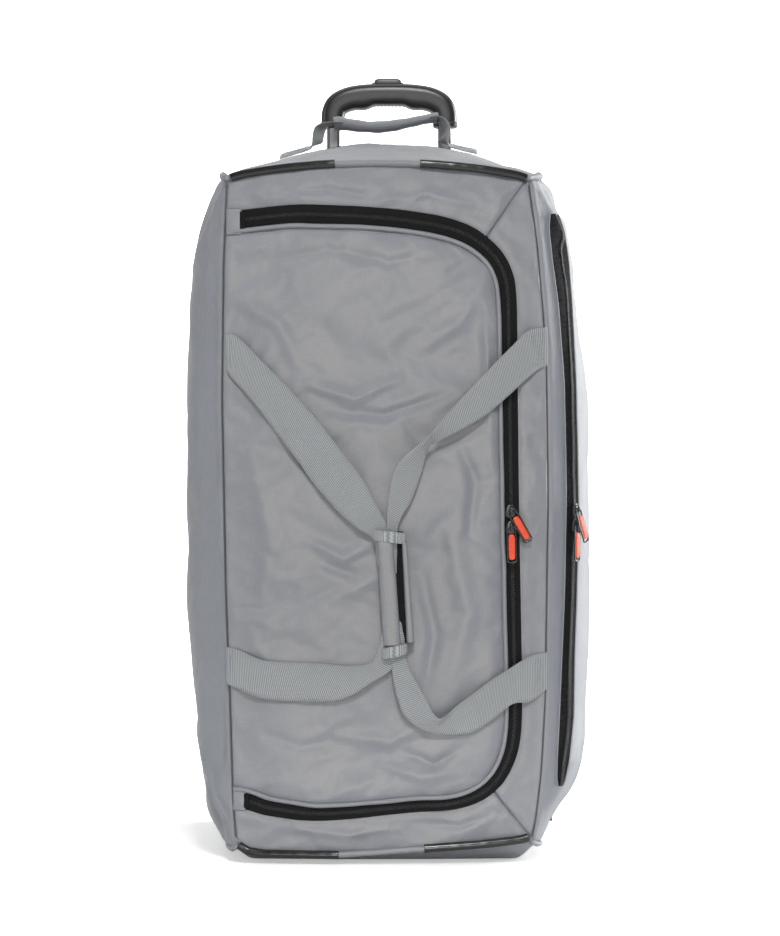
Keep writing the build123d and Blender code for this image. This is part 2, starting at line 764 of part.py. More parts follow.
def grip_outline():
    """Front view of the grip."""
    with BuildSketch() as outline:
        with BuildLine():
            Line((-GRIP_HALF_W, GRIP_BOTTOM), GRIP_UPPER[0])
            Spline(*GRIP_UPPER)
            Polyline(GRIP_UPPER[-1], (GRIP_HALF_W, GRIP_BOTTOM),
                     (LEG_INSIDE_X, GRIP_BOTTOM), GRIP_LOWER[0])
            Spline(*GRIP_LOWER)
            Polyline(GRIP_LOWER[-1], (-LEG_INSIDE_X, GRIP_BOTTOM),
                     (-GRIP_HALF_W, GRIP_BOTTOM))
        make_face()
    return outline.sketch


def make_grip_shell(y0, y1, outer_face):
    """Shell from y0 to y1; outer_face is its index among the faces along Y."""
    with BuildPart() as shell:
        with BuildSketch(y_plane(y0)):
            add(grip_outline())
        extrude(amount=-(y1 - y0))
        fillet(shell.faces().sort_by(Axis.Y)[outer_face].edges(), 5)
        # sockets for the inner tubes
        with BuildSketch(Plane.XY.offset(GRIP_BOTTOM - 1)):
            with Locations(*TUBES):
                RectangleRounded(INNER_W + 0.3, INNER_D + 0.3, 3.4)
        extrude(amount=18, mode=Mode.SUBTRACT)
        # well for the push button
        with BuildSketch(Plane.XY.offset(803)):
            with Locations((0, TUBE_Y)):
                RectangleRounded(32, 15, 5)
        extrude(amount=30, mode=Mode.SUBTRACT)
        # channels for the push rods
        with BuildSketch(Plane.XY.offset(798.4)):
            with Locations((0, TUBE_Y)):
                Rectangle(132, 5)
        extrude(amount=5.8, mode=Mode.SUBTRACT)
        with BuildSketch(Plane.XY.offset(GRIP_BOTTOM + 10)):
            with Locations(*TUBES):
                Rectangle(8, 5)
        extrude(amount=17, mode=Mode.SUBTRACT)
    return shell


save(make_grip_shell(TUBE_Y - GRIP_DEPTH / 2, TUBE_Y - SHELL_GAP, 0), "grip_front_shell")
save(make_grip_shell(TUBE_Y + SHELL_GAP, TUBE_Y + GRIP_DEPTH / 2, -1), "grip_rear_shell")

with BuildPart() as push_button:
    with BuildSketch(Plane.XY.offset(807.5)):
        with Locations((0, TUBE_Y)):
            RectangleRounded(30.6, 13.6, 4.4)
    extrude(amount=22)
    fillet(push_button.faces().sort_by(Axis.Z)[-1].edges(), 2.2)
save(push_button, "push_button")

# block under the button, cross bar, and a rod down to each inner tube
ROD_DEPTH = 3
with BuildPart() as push_rods:
    with BuildSketch(y_plane(TUBE_Y - ROD_DEPTH / 2)):
        with Locations((0, 805.6)):
            Rectangle(20, 3.6)
        with Locations((0, 803.3)):
            Rectangle(2 * TUBE_X, 1.2)
        with Locations((-TUBE_X, 797.6), (TUBE_X, 797.6)):
            Rectangle(4, 11.4)
    extrude(amount=-ROD_DEPTH)
save(push_rods, "push_rods")

# --------------------------------------------------------------- wheels -----
WHEEL_R, WHEEL_W = 35.0, 22.0
WHEEL_Y, WHEEL_Z = 160.0, 35.0
WHEEL_X0 = 152.0          # inner face of the wheel
HUB_INSET = 0.5           # hub face inside the tyre face
BEARING_R, BEARING_W = 8.5, 6
BEARING_INSET = 1.0
AXLE_R = 3.0
AXLE_FIT = 0.05           # radial running clearance
POCKET_R = WHEEL_R + 3.5


def make_tyre(side):
    """Tyre with rounded outer edges."""
    with BuildPart() as tyre:
        with BuildSketch(x_plane(side * WHEEL_X0)):
            with Locations((WHEEL_Y, WHEEL_Z)):
                Circle(WHEEL_R)
                Circle(26.0, mode=Mode.SUBTRACT)
        extrude(amount=side * WHEEL_W)
        fillet(tyre.edges().filter_by(GeomType.CIRCLE).group_by(SortBy.RADIUS)[-1], 3.5)
    return tyre


def make_hub(side):
    """Hub with five round pits in each face."""
    inner_x = WHEEL_X0 + HUB_INSET
    outer_x = WHEEL_X0 + WHEEL_W - HUB_INSET
    with BuildPart() as hub:
        with BuildSketch(x_plane(side * inner_x)):
            with Locations((WHEEL_Y, WHEEL_Z)):
                Circle(25.95)
                Circle(BEARING_R + 0.02, mode=Mode.SUBTRACT)
        extrude(amount=side * (outer_x - inner_x))
        for face_x, direction in ((inner_x, 1), (outer_x, -1)):
            with BuildSketch(x_plane(side * face_x)):
                with Locations((WHEEL_Y, WHEEL_Z)):
                    with PolarLocations(17.0, 5):
                        Circle(4.6)
            extrude(amount=side * direction * 7, mode=Mode.SUBTRACT)
    return hub


def make_bearings(side):
    """The two bearings of one wheel."""
    with BuildPart() as bearings:
        for x in (WHEEL_X0 + BEARING_INSET,
                  WHEEL_X0 + WHEEL_W - BEARING_INSET - BEARING_W):
            with BuildSketch(x_plane(side * x)):
                with Locations((WHEEL_Y, WHEEL_Z)):
                    Circle(BEARING_R)
                    Circle(AXLE_R + AXLE_FIT, mode=Mode.SUBTRACT)
            extrude(amount=side * BEARING_W)
    return bearings


def make_housing(side):
    """Block round the wheel, open to the floor and to the back."""
    with BuildPart() as housing:
        with BuildSketch(x_plane(side * 146)):
            with Locations((150, 51)):
                Rectangle(76, 86)
            # lower rear corner
            fillet(vertices().sort_by(Axis.X)[-2:].sort_by(Axis.Y)[0], 26)
        extrude(amount=side * 33)
        # wheel pocket
        with BuildSketch(x_plane(side * 150)):
            with Locations((WHEEL_Y, WHEEL_Z)):
                Circle(POCKET_R)
            with Locations((WHEEL_Y + 30, WHEEL_Z)):
                Rectangle(60, 2 * POCKET_R)
            with Locations((WHEEL_Y, WHEEL_Z - 30)):
                Rectangle(2 * POCKET_R, 60)
        extrude(amount=side * 26.4, mode=Mode.SUBTRACT)
        # axle hole
        with BuildSketch(x_plane(side * 140)):
            with Locations((WHEEL_Y, WHEEL_Z)):
                Circle(AXLE_R + 0.02)
        extrude(amount=side * 60, mode=Mode.SUBTRACT)
        # slots in front of the pocket and above it
        with BuildSketch(x_plane(side * 149)):
            with Locations((118, 46)):
                Rectangle(6, 60)
            with Locations((148, 84.5)):
                Rectangle(50, 8)
        extrude(amount=side * 24, mode=Mode.SUBTRACT)
    return housing


for side, tag in SIDES:
    save(make_tyre(side), "tyre_" + tag)
    save(make_hub(side), "hub_" + tag)
    save(make_bearings(side), "bearings_" + tag)
    save(make_housing(side), "wheel_housing_" + tag)

# axle pins with a head at their inner ends
with BuildPart() as axles:
    for side in (-1, 1):
        head_plane = Plane(origin=(side * 143.5, 0, 0), x_dir=(0, side, 0), z_dir=(side, 0, 0))
        with BuildSketch(head_plane):
            with Locations((side * WHEEL_Y, WHEEL_Z)):
                Circle(AXLE_R)
        extrude(amount=36.2)
        with BuildSketch(head_plane):
            with Locations((side * WHEEL_Y, WHEEL_Z)):
                Circle(5)
        extrude(amount=2.3)
save(axles, "axles")

# --------------------------------------------------------------- screws -----
# heads on the back panel: a row of four low down and a pair near the top
SCREW_PLACES = ((-78, 66), (78, 66), (-30, 66), (30, 66), (-TUBE_X, 700), (TUBE_X, 700))
with BuildPart() as screws:
    with BuildSketch(y_plane(BACK_OUTSIDE_Y)):
        with Locations(*SCREW_PLACES):
            Circle(4)
    extrude(amount=-1.8)
save(screws, "screws")
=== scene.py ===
# Rolling duffel bag, standing upright and packed, built round its CAD frame.
# x runs across the bag (right is +), y from the bowed front (-) to the flat back (+), z up from
# the floor. Lengths are millimetres; new_object turns them into metres.
import math

import bpy
import numpy as np
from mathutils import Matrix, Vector


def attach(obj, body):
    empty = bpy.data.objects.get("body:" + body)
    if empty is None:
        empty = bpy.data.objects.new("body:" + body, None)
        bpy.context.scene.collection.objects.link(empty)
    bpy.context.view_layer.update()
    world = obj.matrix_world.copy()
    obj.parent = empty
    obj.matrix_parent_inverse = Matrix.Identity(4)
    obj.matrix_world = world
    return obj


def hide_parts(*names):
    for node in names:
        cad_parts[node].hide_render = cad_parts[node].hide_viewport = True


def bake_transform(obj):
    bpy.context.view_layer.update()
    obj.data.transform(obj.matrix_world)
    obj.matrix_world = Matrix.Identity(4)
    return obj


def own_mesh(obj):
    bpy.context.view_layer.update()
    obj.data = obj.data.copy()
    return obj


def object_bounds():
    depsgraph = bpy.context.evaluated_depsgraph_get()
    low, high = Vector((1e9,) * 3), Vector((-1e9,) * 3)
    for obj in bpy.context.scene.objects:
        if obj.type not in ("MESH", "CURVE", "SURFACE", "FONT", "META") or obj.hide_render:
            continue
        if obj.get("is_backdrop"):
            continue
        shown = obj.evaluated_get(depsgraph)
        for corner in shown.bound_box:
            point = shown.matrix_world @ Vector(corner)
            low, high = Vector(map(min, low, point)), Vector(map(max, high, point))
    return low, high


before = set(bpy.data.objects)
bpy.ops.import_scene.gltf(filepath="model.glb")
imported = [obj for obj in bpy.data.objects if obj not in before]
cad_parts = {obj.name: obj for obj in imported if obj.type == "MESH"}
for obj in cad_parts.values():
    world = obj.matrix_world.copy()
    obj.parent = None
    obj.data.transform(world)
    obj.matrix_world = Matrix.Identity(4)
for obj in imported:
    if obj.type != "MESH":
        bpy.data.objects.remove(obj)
cad_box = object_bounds()
DATA = bpy.data
SCENE = bpy.context.scene
MILLI = 0.001
FORWARD = np.array([0, -1.0, 0])
UPWARD = np.array([0, 0, 1.0])


# ------------------------------------------------------------ number helpers
def points(*parts):
    """Coordinates broadcast against each other and joined on a new last axis."""
    return np.stack(np.broadcast_arrays(*parts), -1)


def row(start, stop, count):
    return np.linspace(start, stop, count)[None, :]


def column(start, stop, count):
    return np.linspace(start, stop, count)[:, None]


def circle(seg):
    return np.linspace(0, 2 * math.pi, seg, endpoint=False)


def signed_pow(wave, exponent):
    return np.sign(wave) * np.abs(wave) ** exponent


def oval(seg, half_a, half_b, square_a, square_b):
    """Two coordinates of a superellipse; exponents below 1 square it off."""
    angle = circle(seg)
    return (half_a * signed_pow(np.cos(angle), square_a),
            half_b * signed_pow(np.sin(angle), square_b))


def unit(vectors, tiny=1e-12):
    return vectors / (np.linalg.norm(vectors, axis=-1, keepdims=True) + tiny)


def square_to(vectors, tangents):
    """Unit vectors with their part along the tangents taken out."""
    return unit(vectors - (vectors * tangents).sum(-1, keepdims=True) * tangents)


def grid_normals(grid):
    return unit(np.cross(np.gradient(grid, axis=1), np.gradient(grid, axis=0)), 1e-9)


def arc_length(curve):
    return np.r_[0, np.cumsum(np.linalg.norm(np.diff(curve, axis=0), axis=1))]


def interp_points(at, known, curve):
    return np.stack([np.interp(at, known, values) for values in curve.T], -1)


def resample(curve, count):
    """The curve at count evenly spaced points."""
    length = arc_length(curve)
    return interp_points(np.linspace(0, length[-1], count), length, curve)


def catmull(knots, count, per=24):
    """Smooth curve through the knots, resampled to count points."""
    knots = np.array(knots, float)
    ext = np.vstack([2 * knots[0] - knots[1], knots, 2 * knots[-1] - knots[-2]])
    t = column(0, 1, per + 1)[:-1]
    out = []
    for a, b, c, d in zip(ext, ext[1:], ext[2:], ext[3:]):
        out.append(0.5 * (2 * b + (c - a) * t + (2 * a - 5 * b + 4 * c - d) * t ** 2
                          + (3 * b - a - 3 * c + d) * t ** 3))
    return resample(np.vstack(out + [knots[-1:]]), count)


def relax(values, rounds):
    for _ in range(rounds):
        old = values
        values = old.copy()
        values[1:-1] = (old[:-2] + 2 * old[1:-1] + old[2:]) / 4
    return values


def sstep(x):
    x = np.clip(x, 0, 1)
    return x * x * (3 - 2 * x)


def bell(x, width):
    return np.exp(-(x / width) ** 2)


def tuck(distance, depth, reach):
    """Depth that dies away with distance from an edge."""
    return depth * np.exp(-np.clip(distance, 0, None) / reach)


def vnoise(x, y, scale, seed):
    """Smooth value noise in -1..1."""
    table = np.random.RandomState(seed).uniform(-1, 1, (64, 64))
    u, v = np.asarray(x, float) / scale + 17.3, np.asarray(y, float) / scale + 9.1
    i, j = np.floor(u).astype(int), np.floor(v).astype(int)
    fu, fv = sstep(u - i), sstep(v - j)
    i0, j0, i1, j1 = i % 64, j % 64, (i + 1) % 64, (j + 1) % 64
    return ((table[i0, j0] * (1 - fu) + table[i1, j0] * fu) * (1 - fv)
            + (table[i0, j1] * (1 - fu) + table[i1, j1] * fu) * fv)


def crease(x, y, scale, seed):
    """Noise with sharp crests along its zero lines."""
    return 0.3 - np.abs(vnoise(x, y, scale, seed))


def segment_distance(x, z, start, end):
    start = np.array(start, float)
    run = np.array(end, float) - start
    t = np.clip(((x - start[0]) * run[0] + (z - start[1]) * run[1]) / (run @ run), 0, 1)
    return np.hypot(x - start[0] - t * run[0], z - start[1] - t * run[1]), t


def path_distance(grid, path):
    x, z = grid[..., 0], grid[..., 1]
    return np.min([segment_distance(x, z, a, b)[0] for a, b in zip(path, path[1:])], axis=0)


def fold(x, z, path, height, width):
    """Soft ridge (height > 0 stands out) along a polyline, fading at its ends."""
    best = np.full(np.shape(x), 1e9)
    along = np.zeros(np.shape(x))
    count = len(path) - 1
    for k in range(count):
        dist, t = segment_distance(x, z, path[k], path[k + 1])
        nearer = dist < best
        best = np.where(nearer, dist, best)
        along = np.where(nearer, (k + t) / count, along)
    return height * bell(best, width) * np.sin(np.clip(along, 0.02, 0.98) * math.pi) ** 0.6


def coons(bottom, top, left, right, nu, nv):
    """Grid [v, u] filled in between four edge curves."""
    b, t, l, r = resample(bottom, nu), resample(top, nu), resample(left, nv), resample(right, nv)
    u = row(0, 1, nu)[..., None]
    v = column(0, 1, nv)[..., None]
    grid = (1 - v) * b[None] + v * t[None] + (1 - u) * l[:, None] + u * r[:, None]
    grid -= (1 - u) * (1 - v) * b[0] + u * (1 - v) * b[-1] + (1 - u) * v * t[0] + u * v * t[-1]
    return grid


# -------------------------------------------------------------- mesh helpers
def new_object(name, verts, faces, uv=None, mat=None, smooth=True):
    mesh = DATA.meshes.new(name)
    mesh.from_pydata([tuple(v) for v in np.asarray(verts, float) * MILLI], [],
                     [tuple(f) for f in faces])
    if uv is not None:
        layer = mesh.uv_layers.new(name="UVMap")
        corner = np.zeros(len(mesh.loops), int)
        mesh.loops.foreach_get("vertex_index", corner)
        values = np.asarray(uv, float)[corner] * MILLI
        layer.data.foreach_set("uv", values.astype(np.float32).ravel())
    mesh.polygons.foreach_set("use_smooth", [smooth] * len(mesh.polygons))
    mesh.update()
    obj = DATA.objects.new(name, mesh)
    SCENE.collection.objects.link(obj)
    if mat:
        mesh.materials.append(mat)
    return obj


def put(obj, body, slot, *replaced):
    if replaced:
        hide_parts(*replaced)
    if body:
        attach(obj, body)
    return obj


def grid_faces(nu, nv, closed_u=False, flip=False, off=0):
    faces = []
    for j in range(nv - 1):
        for i in range(nu if closed_u else nu - 1):
            a, b = off + j * nu + i, off + j * nu + (i + 1) % nu
            face = (a, b, b + nu, a + nu)
            faces.append(face[::-1] if flip else face)
    return faces


def ring_faces(seg, count):
    """Faces of stacked rings with a cap at each end."""
    last = (count - 1) * seg
    return grid_faces(seg, count, closed_u=True) + [
        tuple(range(seg - 1, -1, -1)), tuple(last + i for i in range(seg))]


def loft_data(rings, around=0.0, along=0.0):
    """Vertices, faces and UV of rings [ring, corner, 3]."""
    blank = 0 * rings[..., 0]
    uv = points(around + blank, along + blank).reshape(-1, 2)
    return rings.reshape(-1, 3), ring_faces(rings.shape[1], rings.shape[0]), uv


def loft(name, rings, mat, around=0.0, along=0.0):
    return new_object(name, *loft_data(rings, around, along), mat)


def arc_uv(grid):
    """UV of arc length over a grid, zero along its middle lines."""
    nv, nu = grid.shape[:2]
    du = np.linalg.norm(np.diff(grid, axis=1), axis=2)
    dv = np.linalg.norm(np.diff(grid, axis=0), axis=2)
    u = np.concatenate([np.zeros((nv, 1)), np.cumsum(du, 1)], 1)
    v = np.concatenate([np.zeros((1, nu)), np.cumsum(dv, 0)], 0)
    return points(u - u[:, nu // 2][:, None], v - v[nv // 2][None, :]).reshape(-1, 2)


def sheet(name, grid, mat, thick, flip=False):
    """Fabric with real thickness from a grid [v, u, 3]; flip turns its outside over."""
    nv, nu = grid.shape[:2]
    normals = -grid_normals(grid) if flip else grid_normals(grid)
    under = grid - normals * thick
    k = nu * nv
    faces = grid_faces(nu, nv, flip=flip) + grid_faces(nu, nv, flip=not flip, off=k)
    edges = [(i, i + 1) for i in range(nu - 1)]
    edges += [(j * nu + nu - 1, (j + 1) * nu + nu - 1) for j in range(nv - 1)]
    edges += [((nv - 1) * nu + i + 1, (nv - 1) * nu + i) for i in range(nu - 1)]
    edges += [((j + 1) * nu, j * nu) for j in range(nv - 1)]
    for a, b in edges:
        faces.append((a, b, b + k, a + k) if flip else (b, a, a + k, b + k))
    uv = arc_uv(grid)
    verts = np.vstack([grid.reshape(-1, 3), under.reshape(-1, 3)])
    return new_object(name, verts, faces, np.vstack([uv, uv]), mat)


def carried_frame(curve):
    """Side and normal vectors carried along a curve without twist."""
    tangents = unit(np.gradient(curve, axis=0))
    start = UPWARD if abs(tangents[0][2]) < 0.9 else np.array([1.0, 0, 0])
    normals = [square_to(start, tangents[0])]
    for tangent in tangents[1:]:
        normals.append(square_to(normals[-1], tangent))
    normals = np.array(normals)
    return np.cross(tangents, normals), normals


def tube_data(curve, radius, seg=12, closed=False):
    count = len(curve)
    radius = np.broadcast_to(np.asarray(radius, float), (count,))
    if closed:
        side, normal = carried_frame(np.vstack([curve[-1:], curve, curve[:1]]))
        side, normal = side[1:-1], normal[1:-1]
    else:
        side, normal = carried_frame(curve)
    angle = circle(seg)
    spokes = (np.cos(angle)[None, :, None] * side[:, None]
              + np.sin(angle)[None, :, None] * normal[:, None])
    rings = curve[:, None] + spokes * radius[:, None, None]
    verts, faces, uv = loft_data(rings, angle * np.mean(radius), arc_length(curve)[:, None])
    if closed:
        k = (count - 1) * seg
        faces = faces[:-2] + [(k + i, k + (i + 1) % seg, (i + 1) % seg, i) for i in range(seg)]
    return verts, faces, uv


def tube(name, curve, radius, mat, seg=12, closed=False):
    return new_object(name, *tube_data(curve, radius, seg, closed), mat)


def merge(parts):
    verts, faces, uvs, k = [], [], [], 0
    for part_verts, part_faces, uv in parts:
        verts.append(part_verts)
        faces += [tuple(i + k for i in face) for face in part_faces]
        uvs.append(uv)
        k += len(part_verts)
    return np.vstack(verts), faces, np.vstack(uvs)


# A thread or tooth: place along its length, share of its radius
CAPSULE = [(-0.5, 0.25), (-0.38, 0.8), (-0.15, 1.0), (0.15, 1.0), (0.38, 0.8), (0.5, 0.25)]


def capsules(name, centres, runs, ups, length, radius, mat, flat=0.8):
    """Many short rounded threads or teeth as one mesh."""
    seg = 6
    runs = unit(runs)
    ups = square_to(ups, runs)
    sides = np.cross(runs, ups)
    rings = []
    for along, share in CAPSULE:
        for angle in circle(seg):
            spoke = sides * math.cos(angle) + ups * (flat * math.sin(angle))
            rings.append(centres + runs * (length * along) + spoke * (radius * share))
    verts = np.stack(rings, 1).reshape(-1, 3)
    step = len(CAPSULE) * seg
    one = ring_faces(seg, len(CAPSULE))
    faces = [tuple(i + k * step for i in face) for k in range(len(centres)) for face in one]
    return new_object(name, verts, faces, np.zeros((len(verts), 2)), mat)


def stitch_line(curve, normal, pitch=3.2, lift=0.25):
    """Centres, directions and normals of stitches along a curve."""
    count = max(2, int(arc_length(curve)[-1] / pitch))
    spots = resample(curve, 2 * count + 1)
    normal = np.atleast_2d(normal)
    normals = interp_points(np.linspace(0, 1, count), np.linspace(0, 1, len(normal)), normal)
    return spots[1::2] + normals * lift, spots[2::2] - spots[:-2:2], normals


def stitches(name, lines, body, slot="fabric", length=2.2, radius=0.34, mat=None):
    joined = [np.vstack([line[k] for line in lines]) for k in range(3)]
    put(capsules(name, *joined, length, radius, mat or THREAD), body, slot)


def box_lines(corners, last_cross, place, normal):
    """Stitch lines of a box with a cross; place(x, y) puts the flat lines in space."""
    lines = []
    for a, b in ((0, 1), (1, 2), (2, 3), (3, 0), (0, 2), last_cross):
        x, y = np.linspace(corners[a], corners[b], 20).T
        lines.append(stitch_line(place(x, y), normal, 2.6))
    return lines


def settle(grid, extra, cap, bend, step=2):
    """Cloth run: the sheet is cut too large by extra, pinned round its edge and left to buckle.
    Gives the offset of every grid point along its normal, kept within cap."""
    normals = grid_normals(grid)
    run_frames = 14
    nv, nu = grid.shape[:2]
    iv = np.unique(np.linspace(0, nv - 1, max(10, nv // step)).round().astype(int))
    iu = np.unique(np.linspace(0, nu - 1, max(10, nu // step)).round().astype(int))
    coarse, coarse_normals = grid[np.ix_(iv, iu)], normals[np.ix_(iv, iu)]
    obj = new_object("settle_sheet", coarse.reshape(-1, 3), grid_faces(len(iu), len(iv)))
    index = np.arange(len(iv) * len(iu)).reshape(len(iv), len(iu))
    edge = np.unique(np.r_[index[0], index[-1], index[:, 0], index[:, -1]])
    obj.vertex_groups.new(name="pin").add([int(i) for i in edge], 1.0, "REPLACE")
    cloth = obj.modifiers.new("cloth", "CLOTH")
    settings = cloth.settings
    settings.quality = 6
    settings.mass = 0.12
    settings.air_damping = 2.0
    settings.tension_stiffness = settings.compression_stiffness = 22
    settings.shear_stiffness = 9
    settings.bending_stiffness = bend
    settings.vertex_group_mass = "pin"
    settings.shrink_min = settings.shrink_max = -extra
    settings.effector_weights.gravity = 0
    cloth.collision_settings.use_collision = False
    cloth.point_cache.frame_end = run_frames + 2
    for number in range(1, run_frames + 1):
        SCENE.frame_set(number)
    evaluated = obj.evaluated_get(bpy.context.evaluated_depsgraph_get())
    mesh = evaluated.to_mesh()
    coords = np.empty(len(mesh.vertices) * 3)
    mesh.vertices.foreach_get("co", coords)
    evaluated.to_mesh_clear()
    DATA.objects.remove(obj)
    SCENE.frame_set(1)
    offset = ((coords.reshape(coarse.shape) / MILLI - coarse) * coarse_normals).sum(2)
    if not np.isfinite(offset).all():   # the cloth run may blow up
        return normals * 0.0
    offset = cap * np.tanh(offset / cap)
    full = np.stack([np.interp(np.arange(nu), iu, values) for values in offset])
    full = np.stack([np.interp(np.arange(nv), iv, values) for values in full.T], 1)
    for _ in range(2):
        full[1:-1] = (full[:-2] + 2 * full[1:-1] + full[2:]) / 4
        full[:, 1:-1] = (full[:, :-2] + 2 * full[:, 1:-1] + full[:, 2:]) / 4
    return normals * full[..., None]


# ----------------------------------------------------------------- materials
class Shader:
    """Short calls for building one node material."""

    def __init__(self, name):
        self.material = DATA.materials.new(name)
        self.material.use_nodes = True
        self.tree = self.material.node_tree
        self.surface = self.tree.nodes["Principled BSDF"]

    def node(self, kind, **settings):
        node = self.tree.nodes.new(kind)
        for key, value in settings.items():
            setattr(node, key, value)
        return node

    def feed(self, socket, value):
        """Link a socket, or set a colour or number."""
        if isinstance(value, bpy.types.NodeSocket):
            self.tree.links.new(value, socket)
        else:
            socket.default_value = (*value, 1) if isinstance(value, tuple) else value

    def math(self, operation, *values, clamp=False):
        node = self.node("ShaderNodeMath", operation=operation, use_clamp=clamp)
        for k, value in enumerate(values):
            self.feed(node.inputs[k], value)
        return node.outputs[0]

    def times(self, a, b, clamp=False):
        return self.math("MULTIPLY", a, b, clamp=clamp)

    def linear(self, value, gain, base):
        return self.math("ADD", self.times(value, gain), base)

    def above(self, value, floor, gain, clamp=True):
        return self.times(self.math("SUBTRACT", value, floor), gain, clamp)

    def mix(self, factor, a, b):
        node = self.node("ShaderNodeMix", data_type="RGBA")
        for k, value in ((0, factor), (6, a), (7, b)):
            self.feed(node.inputs[k], value)
        return node.outputs[2]

    def noise(self, vector, scale, detail=3, rough=0.5):
        node = self.node("ShaderNodeTexNoise")
        node.inputs["Scale"].default_value = scale
        node.inputs["Detail"].default_value = detail
        node.inputs["Roughness"].default_value = rough
        self.feed(node.inputs["Vector"], vector)
        return node.outputs["Fac"]

    def streaks(self, vector, stretch, detail, rough):
        """Noise drawn out by unequal scales."""
        node = self.node("ShaderNodeMapping")
        node.inputs["Scale"].default_value = stretch
        self.feed(node.inputs[0], vector)
        return self.noise(node.outputs[0], 1.0, detail, rough)

    def uv(self):
        """The UV vector and its two parts."""
        node = self.node("ShaderNodeUVMap", uv_map="UVMap")
        split = self.node("ShaderNodeSeparateXYZ")
        self.feed(split.inputs[0], node.outputs[0])
        return node.outputs[0], split.outputs[0], split.outputs[1]

    def place(self):
        return self.node("ShaderNodeTexCoord").outputs["Object"]

    def sine(self, value, period):
        """Sine wave; period in millimetres."""
        return self.math("SINE", self.linear(value, 2 * math.pi / (period * MILLI), 0.0))

    def bump(self, height, distance, strength, chain=None):
        node = self.node("ShaderNodeBump")
        node.inputs["Strength"].default_value = strength
        node.inputs["Distance"].default_value = distance
        self.feed(node.inputs["Height"], height)
        if chain is not None:
            self.feed(node.inputs["Normal"], chain)
        return node.outputs[0]

    def finish(self, color, rough, normal=None, **inputs):
        self.feed(self.surface.inputs["Base Color"], color)
        self.feed(self.surface.inputs["Roughness"], rough)
        if normal is not None:
            self.feed(self.surface.inputs["Normal"], normal)
        for key, value in inputs.items():
            self.surface.inputs[key.replace("_", " ")].default_value = value
        return self.material


def shade(color, gain):
    return tuple(min(1, part * gain) for part in color)


def fabric(name, color, pitch=0.62):
    """Plain woven polyester: crossing threads, uneven yarn, faint cloudy marks, with painted sheen
    and shade by view angle and a painted highlight on the thread crowns.
    """
    mat = Shader(name)
    uv, u, v = mat.uv()
    wave_u, wave_v = mat.sine(u, pitch), mat.sine(v, pitch)
    checks = mat.times(mat.sine(u, 2 * pitch), mat.sine(v, 2 * pitch))
    pick = mat.math("GREATER_THAN", checks, 0.0)
    weave = mat.math("ADD", mat.times(pick, wave_u),
                     mat.times(mat.math("SUBTRACT", 1.0, pick), wave_v))
    place = mat.place()
    patches = mat.noise(place, scale=9, detail=3, rough=0.55)
    slubs = mat.noise(place, scale=900, detail=2, rough=0.6)
    cloud = mat.noise(place, scale=55, detail=5, rough=0.62)
    thread_a, thread_b = [mat.streaks(uv, stretch, detail=2, rough=0.5)
                          for stretch in ((80, 1500, 1), (1500, 80, 1))]
    yarn = mat.math("ADD", mat.times(thread_a, 0.5), mat.times(thread_b, 0.5))
    facing = mat.node("ShaderNodeLayerWeight")
    facing.inputs["Blend"].default_value = 0.5
    turn = mat.above(mat.math("POWER", facing.outputs["Facing"], 0.5), floor=0.05, gain=5.6)
    # painted sheen and shade: slightly warm seen square on, darker and cooler where it turns away,
    # standing in for the satin's light lobe; the cooler grey also tints random patches
    facing_sheen_grey = tuple(part * gain for part, gain in zip(color, (1.03, 1.0, 0.965)))
    turn_shade_and_patch_grey = tuple(part * gain for part, gain in zip(color, (0.775, 0.80, 0.84)))
    base = mat.mix(turn, facing_sheen_grey, turn_shade_and_patch_grey)
    tint = mat.mix(mat.above(patches, floor=0.45, gain=1.6), base, turn_shade_and_patch_grey)
    # painted highlight: the raised threads of the weave drawn a little lighter
    tint = mat.mix(mat.times(mat.linear(weave, 0.5, 0.5), 0.30), tint, shade(color, 1.25))
    tint = mat.mix(mat.times(slubs, 0.20), tint, shade(color, 0.74))
    uneven = mat.above(yarn, floor=0.5, gain=1.25, clamp=False)
    tint = mat.mix(mat.times(uneven, 1.0, clamp=True), tint, shade(color, 1.34))
    tint = mat.mix(mat.times(uneven, -1.0, clamp=True), tint, shade(color, 0.66))
    rough = mat.linear(cloud, gain=0.14, base=0.33)
    relief = mat.bump(cloud, distance=0.0012, strength=0.30)
    relief = mat.bump(weave, distance=0.00012, strength=0.5, chain=relief)
    relief = mat.bump(yarn, distance=0.00025, strength=0.45, chain=relief)
    return mat.finish(tint, rough, relief, Sheen_Weight=0.06, Sheen_Roughness=0.45,
                      Specular_IOR_Level=0.75)


def webbing(name, color):
    """Heavy webbing: cross ribs in offset rows, with a painted highlight on the ribs and painted
    shade in the gaps between the rows.
    """
    row_width, rib_pitch = 1.55, 1.95
    mat = Shader(name)
    _, u, v = mat.uv()
    rows = mat.math("FLOOR", mat.times(u, 1 / (row_width * MILLI)))
    odd = mat.times(mat.math("FRACT", mat.times(rows, 0.5)), 2 * math.pi)
    phase = mat.times(v, 2 * math.pi / (rib_pitch * MILLI))
    ribs = mat.math("SINE", mat.math("ADD", phase, mat.times(odd, 0.22)))
    gap = mat.math("ABSOLUTE", mat.sine(u, 2 * row_width))
    height = mat.times(mat.linear(ribs, 0.5, 0.5), mat.linear(gap, gain=0.35, base=0.65))
    place = mat.place()
    patches = mat.noise(place, scale=14, detail=3, rough=0.55)
    fuzz = mat.noise(place, scale=1500, detail=2, rough=0.6)
    # painted light and shade: colour follows the rib height, tops lighter, hollows darker
    tint = mat.mix(height, shade(color, 0.50), shade(color, 1.34))
    tint = mat.mix(mat.times(patches, 0.35), tint, shade(color, 0.88))
    relief = mat.bump(height, distance=0.0006, strength=0.9)
    relief = mat.bump(fuzz, distance=0.0001, strength=0.4, chain=relief)
    return mat.finish(tint, 0.66, relief, Sheen_Weight=0.3, Specular_IOR_Level=0.3)


